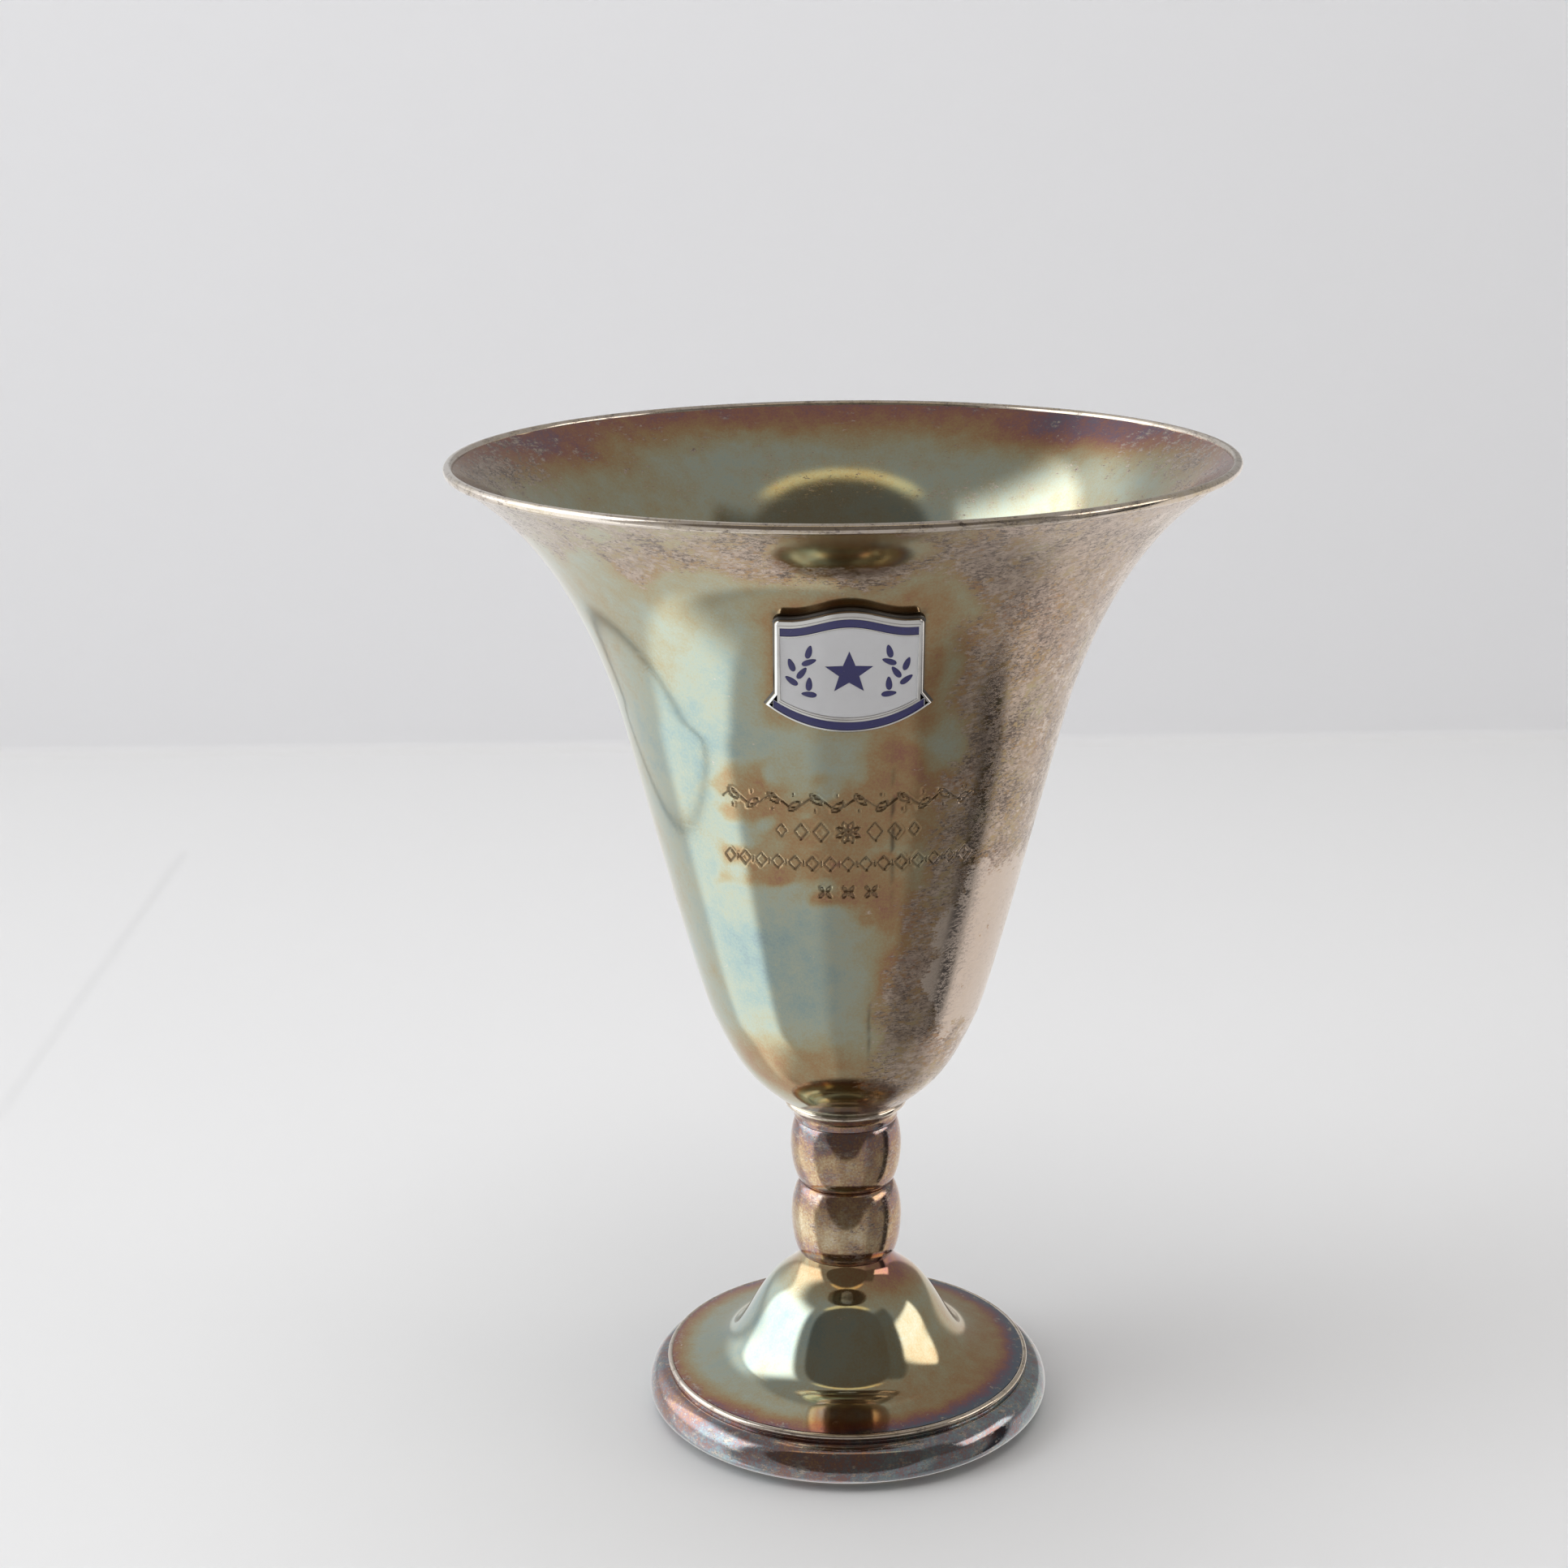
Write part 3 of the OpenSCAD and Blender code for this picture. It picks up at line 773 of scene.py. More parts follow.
@dataclass
class Frieze:
    """Four engraved rows of ornament on the front of the bowl, in unrolled millimetres."""

    row_heights: tuple[float, ...] = (113.6, 108.8, 103.5, 98.7)
    row_reach: tuple[float, ...] = (19.5, 11.0, 20.0, 4.8)
    row_rise: tuple[float, ...] = (1.55, 1.9, 1.15, 1.25)
    cut_width: float = 0.5
    cut_depth: float = 0.12
    burr: float = 0.06

    def leaf(self, cx: float, cy: float, length: float, width: float, tilt: float) -> Array:
        """A pointed leaf's outline about a middle point."""
        t = np.linspace(-1, 1, 9)
        half = width / 2 * (1 - t * t)
        upper = np.stack([t * length / 2, half], 1)
        lower = np.stack([t[::-1] * length / 2, -half[::-1]], 1)
        a = heading(tilt)
        loop = np.concatenate([upper, lower])
        return np.array([cx, cy]) + loop[:, :1] * a + loop[:, 1:] * np.array([-a[1], a[0]])

    def vine(self, reach: float, rise: float, z: float) -> list[Array]:
        """A running vine with a leaf in each bend."""
        waves = 6
        x = np.linspace(-reach, reach, 16 * waves)
        stem = np.stack([x, z + 0.55 * rise * np.sin(x / reach * waves * math.pi)], 1)
        lines = [stem]
        for k in range(2 * waves):
            cx = reach * ((k + 0.5) / waves - 1)
            side = 1 if k % 2 else -1
            lines.append(self.leaf(cx + 0.15, z - side * 0.38 * rise, 2.3, 1.05, side * 42))
            lines.append(np.array([[cx, z + side * 0.95 * rise], [cx, z + side * 0.7 * rise]]))
        return lines

    def rosettes(self, centres: list[float], z: float, radius: float,
                 petals: int) -> list[Array]:
        """Round flowers in a row."""
        lines = []
        for cx in centres:
            for k in range(petals):
                a = 360 * (k + 0.5) / petals
                mid = np.array([cx, z]) + 0.58 * radius * heading(a)
                lines.append(self.leaf(mid[0], mid[1], 0.8 * radius, 0.36 * radius, a))
        return lines

    def lozenge(self, cx: float, z: float, w: float, h: float) -> Array:
        """A lozenge's outline about a middle point, w and h to its corners."""
        return np.array([[cx - w, z], [cx, z + h], [cx + w, z], [cx, z - h], [cx - w, z]])

    def lozenges(self, reach: float, rise: float, z: float, count: int,
                 gap: float) -> list[Array]:
        """A chain of lozenges with a short bar between each two."""
        pitch = 2 * reach / count
        lines = []
        for k in range(count):
            cx = -reach + pitch * (k + 0.5)
            lines.append(self.lozenge(cx, z, pitch * (0.5 - gap), rise))
            if k:
                x = cx - pitch / 2
                lines.append(np.array([[x, z - 0.35 * rise], [x, z + 0.35 * rise]]))
        return lines

    def strokes(self) -> list[Array]:
        """Every stroke of the frieze, in (arc, height) millimetres."""
        (z1, z2, z3, z4), (w1, _, w3, w4) = self.row_heights, self.row_reach
        h1, h2, h3, h4 = self.row_rise
        lines = self.vine(w1, h1, z1)
        lines += self.rosettes([0.0], z2, h2, 8)
        for side in (-1, 1):
            for k, size in enumerate((1.0, 0.85, 0.7)):
                lines.append(self.lozenge(side * (4.0 + 3.0 * k), z2, 1.15 * size,
                                          h2 * 0.8 * size))
        lines += self.lozenges(w3, h3, z3, 15, 0.14)
        lines += self.rosettes([-w4 * 0.72, 0.0, w4 * 0.72], z4, h4, 4)
        return lines

    def cut(self, arc: Array, z: Array) -> tuple[Array, Array]:
        """Groove and burr over the surface.

        Args:
            arc: Distance round the bowl from the badge's middle line, in millimetres.
            z: Height over the table, in millimetres.

        Returns:
            The rise over the plain surface, in millimetres, and the share of shadow, 0 to 1.
        """
        d = segment_distance(np.stack([arc, z], 1), self.strokes())
        half = self.cut_width / 2
        groove = 1 - smooth(0, half, d)
        edge = np.exp(-(((d - 1.25 * half) / (0.5 * half)) ** 2))
        return self.burr * edge - self.cut_depth * groove, groove

    def warmth(self, arc: Array, z: Array) -> Array:
        """How near a place is to the engraved rows, 0 to 1, with a wandering edge."""
        near = np.zeros_like(arc)
        wander = 1.1 * mottle(arc, z, 2.6, 5) + 1.2 * mottle(arc, z, 7.0, 6)
        for zc, w, h in zip(self.row_heights, self.row_reach, self.row_rise):
            dx, dz = np.maximum(np.abs(arc) - w, 0), np.maximum(np.abs(z - zc) - h, 0)
            near = np.maximum(near, 1 - smooth(-0.8, 4.6, np.hypot(dx, dz) + wander))
        return near


@dataclass
class Bowl:
    """The flared bowl, with its frieze cut in the silver."""

    seat_r: float = 10.0
    collar_h: float = 3.6
    seat_angle: float = 38.0
    belly: tuple[float, float] = (21.5, 15.6)
    belly_angle: float = 66.0
    throat_r: float = 36.1
    throat_drop: float = 36.0
    throat_angle: float = 71.7
    lip_angle: float = 35.0
    wall: float = 0.8
    rim_wire_r: float = 0.75
    patch_azimuth: float = 38.0
    patch_step: float = 0.36
    patch_z: tuple[float, float] = (97.0, 115.8)
    row_step: float = 0.19
    side_end: float = 100.0
    side_step: float = 1.2
    back_step: float = 2.8
    frieze: Frieze = field(default_factory=Frieze)

    def __post_init__(self) -> None:
        """Takes the bowl's place from the frame and draws its line."""
        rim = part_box("rim_wire")
        self.rim_z = rim[1].z / MM
        self.rim_r = rim[1].x / MM
        self.seat_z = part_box("upper_knop")[1].z / MM + self.collar_h
        ball_r = self.seat_r / math.sin(math.radians(self.seat_angle))
        ball_z = self.seat_z + ball_r * math.cos(math.radians(self.seat_angle))
        a = np.radians(np.linspace(0, self.seat_angle, 13))
        ball = np.stack([ball_r * np.sin(a), ball_z - ball_r * np.cos(a)], 1)
        seat = np.array([self.seat_r, self.seat_z])
        belly = np.array([self.belly[0], self.seat_z + self.belly[1]])
        throat = np.array([self.throat_r, self.rim_z - self.throat_drop])
        lip_normal = heading(self.lip_angle + 90)
        centre = np.array([self.rim_r - self.rim_wire_r, self.rim_z - self.rim_wire_r])
        lip = centre - lip_normal * self.wall / 2
        self.line = joined(
            ball,
            bend(seat, self.seat_angle, 7.6, belly, self.belly_angle, 10, 60),
            bend(belly, self.belly_angle, 6.5, throat, self.throat_angle, 6, 80),
            bend(throat, self.throat_angle, 25, lip, self.lip_angle, 7.5, 100))
        self.normals = -left_normals(self.line)

    def radius(self, z: Array) -> Array:
        """Outer radius at a height."""
        return np.interp(z, self.line[:, 1], self.line[:, 0])

    def outward(self, z: Array) -> tuple[Array, Array]:
        """Radial and upward parts of the outer surface's normal at a height."""
        return (np.interp(z, self.line[:, 1], self.normals[:, 0]),
                np.interp(z, self.line[:, 1], self.normals[:, 1]))

    def columns(self) -> Array:
        """Azimuths of the mesh's columns: close together over the frieze, wider elsewhere."""
        edge = self.patch_azimuth
        front = np.arange(-edge, edge + TINY, self.patch_step)
        side = np.arange(edge + self.side_step, self.side_end, self.side_step)
        back = np.arange(102.5, 258, self.back_step)
        return np.concatenate([front, side, back, 360 - side[::-1]])

    def rows(self) -> Array:
        """Heights of the outer mesh's rows, from the seat to the lip."""
        low, high = self.patch_z
        below = np.linspace(self.seat_z, low, 34, endpoint=False)
        patch = np.arange(low, high, self.row_step)
        above = np.linspace(high, self.line[-1, 1], 46)
        return np.concatenate([below, patch, above])

    def shell(self) -> Solid:
        """The bowl's mesh with its painted fields."""
        azimuths = self.columns()
        n = len(azimuths)
        ball = self.line[self.line[:, 1] < self.seat_z - TINY][1:]
        z_rows = self.rows()
        outer = np.concatenate([ball, np.stack([self.radius(z_rows), z_rows], 1)])
        count = len(self.line)
        picks = np.unique(np.linspace(1, count - 1, 64).astype(int))[::-1]
        inner = self.line[picks] - self.wall * self.normals[picks]
        pole_out = self.line[0]
        pole_in = np.array([0.0, pole_out[1] + self.wall])

        a = np.radians(azimuths)
        signed = np.where(azimuths > 180, azimuths - 360, azimuths)
        grid_r = np.repeat(outer[:, 0], n).reshape(-1, n)
        grid_z = np.repeat(outer[:, 1], n).reshape(-1, n)
        arc = np.radians(signed)[None, :] * grid_r
        lift, shadow = self.frieze.cut(arc.ravel(), grid_z.ravel())
        lift, shadow = lift.reshape(arc.shape), shadow.reshape(arc.shape)
        nr, nz = self.outward(grid_z)
        r, z = grid_r + lift * nr, grid_z + lift * nz
        outer_points = spun(r, a, z).reshape(-1, 3)

        keep = np.arange(0, n, 3)
        inner_points = spun(inner[:, :1], a[keep], inner[:, 1:]).reshape(-1, 3)
        solid = Solid()
        solid.points = np.concatenate([[[0, 0, pole_out[1]]], outer_points, inner_points,
                                       [[0, 0, pole_in[1]]]])
        rows_out, rows_in, m = len(outer), len(inner), len(keep)
        base = 1 + rows_out * n

        def at(i: int, k: int) -> int:
            """Index of an outer point by row and column."""
            return 1 + i * n + k % n

        def inn(i: int, k: int) -> int:
            """Index of an inner point by row and column."""
            return base + i * m + k % m

        faces = [(0, at(0, k + 1), at(0, k)) for k in range(n)]
        for i in range(rows_out - 1):
            faces += [(at(i, k), at(i, k + 1), at(i + 1, k + 1), at(i + 1, k)) for k in range(n)]
        for j in range(m):
            k0, k1 = keep[j], keep[(j + 1) % m] if j + 1 < m else n
            edge = [at(rows_out - 1, k) for k in range(k0, k1 + 1)]
            faces.append((*edge, inn(0, j + 1), inn(0, j)))
        for i in range(rows_in - 1):
            faces += [(inn(i, k), inn(i, k + 1), inn(i + 1, k + 1), inn(i + 1, k))
                      for k in range(m)]
        last = len(solid.points) - 1
        faces += [(inn(rows_in - 1, k), inn(rows_in - 1, k + 1), last) for k in range(m)]
        solid.faces = faces
        self.paint(solid, signed, grid_z, arc, shadow, signed[keep], inner)
        return solid

    def paint(self, solid: Solid, azimuth: Array, z: Array, arc: Array, shadow: Array,
              inner_azimuth: Array, inner: Array) -> None:
        """Paints film, wear, the grooves' painted shade and the dark marks over the outer and inner
        skins.

        Args:
            solid: The mesh to paint.
            azimuth: The outer columns' azimuths.
            z: Heights over the outer grid.
            arc: Arc distances over the outer grid.
            shadow: Share of engraved groove over the outer grid, painted as shade.
            inner_azimuth: The inner columns' azimuths.
            inner: The inner line, from the lip down.
        """
        phi = np.repeat(azimuth[None, :], len(z), 0)
        outside = self.outer_tarnish(phi, z, arc) | {"cut": shadow}
        phi_in = np.repeat(inner_azimuth[None, :], len(inner), 0)
        z_in = np.repeat(inner[:, 1:], len(inner_azimuth), 1)
        within = self.inner_tarnish(phi_in, z_in) | {"cut": 0 * z_in}
        for key, out in outside.items():
            solid.paint[key] = np.concatenate([out[0, :1], out.ravel(), within[key].ravel(),
                                               within[key][-1, :1]])

    def outer_tarnish(self, phi: Array, z: Array, arc: Array) -> dict[str, Array]:
        """Fields of tarnish on the outside, from azimuth, height and arc."""
        broad, mid = mottle(arc, z, 17, 1, phi), mottle(arc, z, 6, 2, phi)
        film = np.full_like(z, 0.56) + 0.024 * broad + 0.014 * mid
        film += 0.07 * smooth(-16, 18, phi)
        film += 0.05 * smooth(128, 152, z)
        film -= 0.13 * spot(phi, z, -18, 84, 26, 12)
        film += 0.30 * spot(phi, z, -22, 65, 48, 6.5)
        film += 0.22 * self.frieze.warmth(arc, z)
        outside = np.hypot(np.maximum(np.abs(arc) - 10.5, 0),
                           np.maximum(np.abs(z - 136.7) - 7.8, 0))
        film += 0.24 * (1 - smooth(-1, 5.5, outside + 0.8 * mid + 0.5 * broad))
        film += 0.17 * spot(arc, z, 7.5, 113, 6, 11) * (1 + 0.5 * mid)
        film += 0.15 * spot(arc, z, 6.5, 90, 5, 13) * (1 + 0.4 * mid)
        film += 0.08 * smooth(55, 95, np.abs(phi)) * smooth(112, 150, z)

        border = np.interp(z, (55, 71, 84, 98, 112, 124.5, 138, 152),
                           (2.0, 4.8, 12.3, 15.5, 17.4, 23.9, 23.9, 12.8))
        wander = 2.2 * broad + 1.6 * mid
        wear = 0.60 * smooth(-9, 9, phi - border + wander) * smooth(160, 110, phi)
        wear = np.maximum(wear, (0.56 + 0.05 * mid) * smooth(147.5, 152.5, z + 0.8 * mid))
        wear += 0.10 * smooth(118, 150, z) * smooth(0.2, 1.4, mid)
        film += 0.12 * smooth(0.2, 0.6, wear)
        film = np.minimum(film, 0.755 + 0.012 * mid)
        torn = np.interp(z, (66, 74, 80, 88, 96, 103), (48, 38, 31, 26, 34, 46))
        bare = 0.88 * smooth(-5, 4, phi - torn + 2.0 * mid) * smooth(104, 97, z + 1.5 * broad)
        bare *= smooth(120, 85, phi) * smooth(62, 74, z)
        bare = np.maximum(bare, 0.34 * smooth(46, 54, phi) * smooth(120, 90, phi))
        wear = np.maximum(wear, (0.30 + 0.10 * broad) * smooth(95, 140, np.abs(phi)))

        # Painted reflection: in an ellipse under the lip, where the cup's own foot is mirrored, the
        # wear is taken out and the film is set to a golden tone.
        painted_foot_reflection = smooth(1.15, 0.95, np.hypot(arc / 10.8, (z - 155.4) / 2.8))
        wear *= 1 - 0.9 * painted_foot_reflection
        film += (0.68 - film) * painted_foot_reflection

        # Dark marks: two thin dark vertical streaks, and a narrow dark band close round the badge.
        dark_marks = 1.1 * spot(arc, z, 6.6, 109, 0.36, 9) + 0.8 * spot(arc, z, 3.2, 74, 0.32, 5)
        dark_marks *= smooth(-1.2, 0.6, mottle(arc, z, 1.4, 9))
        dark_marks += 0.6 * (1 - smooth(0, 0.9, outside))
        return {"film": film, "wear": wear, "bare": bare, "dark_marks": np.clip(dark_marks, 0, 1)}

    def inner_tarnish(self, phi: Array, z: Array) -> dict[str, Array]:
        """Fields of tarnish on the inside, from azimuth and height."""
        arc = np.radians(phi) * self.radius(z)
        broad, mid = mottle(arc, z, 20, 11, phi), mottle(arc, z, 7, 12, phi)
        film = 0.60 + 0.27 * smooth(151, 159, z + broad) + 0.02 * broad + 0.012 * mid
        film += 0.06 * smooth(130, 110, z)
        wear = 0.20 + 0.05 * mid + 0.36 * spot(np.abs(phi), z, 95, 156, 26, 4)
        return {"film": film, "wear": wear, "bare": 0 * z, "dark_marks": 0 * z}

    def build(self, finishes: Finishes) -> None:
        """Makes the bowl and its rim wire."""
        shell = self.shell()
        place_piece(shell.make("bowl_shell", 30), finishes.bowl, "bowl_silver", "bowl")
        wire_r = self.rim_wire_r
        place_ring("rim_wire_ring", "rim_wire", self.rim_r - wire_r, self.rim_z - wire_r, wire_r,
                   256, 20, finishes.wire)


@dataclass
class Badge:
    """The enamelled badge that follows the bowl's front.

    Flat sizes are u across and v up from the badge's lowest point; a height is over the bowl.
    """

    bowl: Bowl
    width: float = 21.0
    tip_width: float = 23.9
    height: float = 19.9
    drop: float = 34.5
    corner_drop: float = 1.6
    corner_r: float = 0.8
    tip_v: float = 4.3
    border: float = 0.5
    band: float = 1.3
    line: float = 0.25
    solder_t: float = 0.15
    floor_t: float = 0.8
    top_t: float = 1.45
    enamel_sink: float = 0.08
    top_inset: float = 0.75
    bottom_inset: float = 0.45
    shoulder_v: float = 6.2
    fillet_r: float = 0.3
    rule_r: float = 0.09
    star_r: float = 3.6
    star_notch: float = 0.42
    leaves: int = 7

    def __post_init__(self) -> None:
        """Works out the outline's sizes."""
        self.half = self.width / 2
        self.tip_u = self.tip_width / 2
        self.arch_u = self.half * 0.83
        self.sweep_r = (self.tip_u**2 + self.tip_v**2) / (2 * self.tip_v)
        self.base_z = self.bowl.rim_z - self.drop
        self.emblem_v = 0.49 * self.height

    def top_v(self, u: Array) -> Array:
        """Height of the top edge at u."""
        arch = (1 - np.cos(np.pi * np.clip(np.abs(u) / self.arch_u, 0, 1))) / 2
        past = np.clip((np.abs(u) - self.half) / self.corner_r + 1, 0, 1)
        rounded = self.corner_r * (1 - np.sqrt(1 - past**2))
        return self.height - self.corner_drop * arch - rounded

    def bottom_v(self, u: Array) -> Array:
        """Height of the bottom edge at u."""
        return self.sweep_r - np.sqrt(self.sweep_r**2 - u * u)

    def outline(self) -> Array:
        """The badge's outline, anticlockwise."""
        u = np.linspace(-1, 1, 41) * self.tip_u
        w = np.sin(np.linspace(math.pi / 2, -math.pi / 2, 61)) * self.half
        side = self.half + 0.1
        return joined(np.stack([u, self.bottom_v(u)], 1), [[side, self.shoulder_v]],
                      np.stack([w, self.top_v(w)], 1), [[-side, self.shoulder_v]])

    def strip(self, edge: Callable[[Array], Array], half: float, low: float,
              high: float) -> Array:
        """A band between two heights over an edge line, anticlockwise."""
        u = np.linspace(-half, half, 41)
        v = edge(u)
        return np.concatenate([np.stack([u, v + low], 1), np.stack([u, v + high], 1)[::-1]])

    def cells(self) -> dict[str, Array]:
        """Outlines of the three enamelled fields."""
        inner = self.half - self.border - self.line
        top_in, bottom_in = self.border + self.top_inset, self.bottom_inset
        top = self.strip(self.top_v, inner, -top_in - self.band, -top_in)
        bottom = self.strip(self.bottom_v, self.tip_u - 1.15, bottom_in, bottom_in + self.band)
        low, high = bottom_in + self.band + 0.75, top_in + self.band + self.line
        u = np.linspace(-inner, inner, 41)
        white = np.concatenate([np.stack([u, self.bottom_v(u) + low], 1),
                                np.stack([u, self.top_v(u) - high], 1)[::-1]])
        return {"top": top, "white": white, "bottom": bottom}

    def star(self) -> Array:
        """The star's outline."""
        k = np.arange(10)
        r = np.where(k % 2 == 0, self.star_r, self.star_r * self.star_notch)
        a = np.radians(90 + 36 * k)
        return np.stack([r * np.cos(a), self.emblem_v + r * np.sin(a)], 1)

    def laurel(self) -> list[Array]:
        """Outlines of the laurel leaves, on both sides of the star."""
        loops, reach = [], self.star_r + 4
        t = np.radians(np.arange(0, 360, 15))
        for side in (-1, 1):
            for i in range(self.leaves):
                a = -48 + 96 * i / (self.leaves - 1)
                out, tilt = (0.9, -35) if i % 2 == 0 else (-0.9, 35)
                turn = a + 90 + tilt
                c, s = heading(a)
                middle = np.array([side * (reach + out) * c,
                                   self.emblem_v + 0.72 * (reach - 2 + out) * s])
                ax = heading(turn if side > 0 else 180 - turn)
                x, y = 1.1 * np.cos(t), 0.45 * np.sin(t) * (1 - 0.25 * np.cos(t))
                loops.append(middle + x[:, None] * ax + y[:, None] * [-ax[1], ax[0]])
        return loops

    def place(self, flat: Array, height: Array | float) -> Array:
        """Points in space for flat points at a height over the bowl."""
        z = self.base_z + flat[:, 1]
        r = self.bowl.radius(z) + height / self.bowl.outward(z)[0]
        return np.stack([flat[:, 0], -np.sqrt(r * r - flat[:, 0] ** 2), z], 1)

    def slab(self, outline: Array, holes: list[Array], bottom: float, top: float, ease: float,
             spacing: float, crown: float = 0.0, roll: float | None = None) -> Solid:
        """A slab over an outline, with eased upper edges.

        Args:
            outline: The slab's outline.
            holes: Outlines of the holes through it.
            bottom: Height of its underside over the bowl.
            top: Height of its upper side.
            ease: Radius of the eased edge.
            spacing: Distance between the points inside.
            crown: How far the middle rises over the edges.
            roll: Radius of the outline's own edge, if it differs from the holes'.

        Returns:
            The closed solid.
        """
        loops = [outline] + holes
        eases = [ease if roll is None else roll] + [ease] * len(holes)
        steps = np.radians([0, 22.5, 45, 67.5, 90])
        inner = [drawn_in(loop, eases[i] if i == 0 else -eases[i])
                 for i, loop in enumerate(loops)]
        cap, faces = filled(inner, spacing)
        edge_distance = segment_distance(cap, [np.concatenate([q, q[:1]]) for q in inner])
        raised = crown * smooth(0, 1.2, edge_distance)
        solid = Solid(self.place(cap, top + raised), faces)
        under, under_faces = filled(loops, 2.0)
        base = len(solid.points)
        solid.points = np.concatenate([solid.points, self.place(under, bottom)])
        solid.faces += [tuple(base + i for i in f[::-1]) for f in under_faces]
        start_cap, start_under = 0, base
        for i, loop in enumerate(loops):
            n, rings = len(loop), [np.arange(start_under, start_under + len(loop))]
            for a in steps[:-1]:
                d = eases[i] * (1 - math.cos(a))
                shifted = drawn_in(loop, d if i == 0 else -d)
                rings.append(np.arange(n) + len(solid.points))
                solid.points = np.concatenate([solid.points, self.place(
                    shifted, top - eases[i] + eases[i] * math.sin(a))])
            rings.append(np.arange(start_cap, start_cap + n))
            for low, high in zip(rings[:-1], rings[1:]):
                for k in range(n):
                    m = (k + 1) % n
                    quad = tuple(int(q) for q in (low[k], low[m], high[m], high[k]))
                    solid.faces.append(quad if i == 0 else quad[::-1])
            start_cap, start_under = start_cap + n, start_under + n
        return solid

    def rule_paths(self) -> list[tuple[Array, bool]]:
        """Paths of the fine silver rules beside the bands."""
        paths = []
        inner = self.half - self.border - 0.05
        u = np.linspace(-inner, inner, 61)
        for v in (self.top_v(u) - self.border - 0.32,
                  self.bottom_v(u) + self.bottom_inset + self.band + 0.36):
            flat = np.stack([u, v], 1)
            paths.append((self.place(flat, self.top_t - 0.02), False))
        return paths

    def build(self, finishes: Finishes) -> None:
        """Makes the plate, its rules, the enamels and the solder."""
        outline, cells = self.outline(), self.cells()
        plate = self.slab(outline, list(cells.values()), self.solder_t,
                          self.top_t, 0.06, 1.2, roll=0.38)
        floor = self.slab(drawn_in(outline, 0.3), [], self.solder_t + 0.02, self.floor_t, 0.05,
                          1.2)
        rules = swept_solid("badge_rules", self.rule_paths(), self.rule_r, 8, finishes.badge)
        plate.add(floor).add(rules)
        place_piece(plate.make("badge_plate_dressed"), finishes.badge, "badge_silver",
                    "badge_plate")
        enamel_top, emblem_top = self.top_t - self.enamel_sink, self.top_t - 0.05
        star, leaves = self.star(), self.laurel()
        white = self.slab(cells["white"], [star] + leaves, self.floor_t, enamel_top, 0.05, 0.5,
                          0.03)
        place_piece(white.make("badge_white_field"), finishes.white, "enamel_white",
                    "badge_white_enamel")
        for name, node in (("top", "badge_top_band"), ("bottom", "badge_bottom_band")):
            band = self.slab(cells[name], [], self.floor_t, enamel_top, 0.05, 0.5, 0.02)
            place_piece(band.make(f"badge_{name}_stripe"), finishes.blue, "enamel_blue", node)
        raised = self.slab(star, [], self.floor_t, emblem_top, 0.05, 0.5)
        place_piece(raised.make("badge_star_field"), finishes.blue, "enamel_blue", "badge_star")
        branch = Solid()
        for leaf in leaves:
            branch.add(self.slab(leaf, [], self.floor_t, emblem_top, 0.05, 0.5))
        place_piece(branch.make("badge_laurel_leaves"), finishes.blue, "enamel_blue",
                    "badge_laurel")
        seam = self.slab(drawn_in(outline, -0.2), [], 0.0, self.solder_t + 0.05, 0.05, 1.5)
        u = np.sin(np.linspace(-math.pi / 2, math.pi / 2, 81)) * (self.half - 0.02)
        crest = np.stack([u, self.top_v(u) + 0.1], 1)
        fillet = swept_solid("badge_fillet", [(self.place(crest, 0.25), False)],
                             self.fillet_r, 16, finishes.solder)
        seam.add(fillet)
        place_piece(seam.make("badge_solder_seam"), finishes.solder, "solder_grey",
                    "badge_solder")


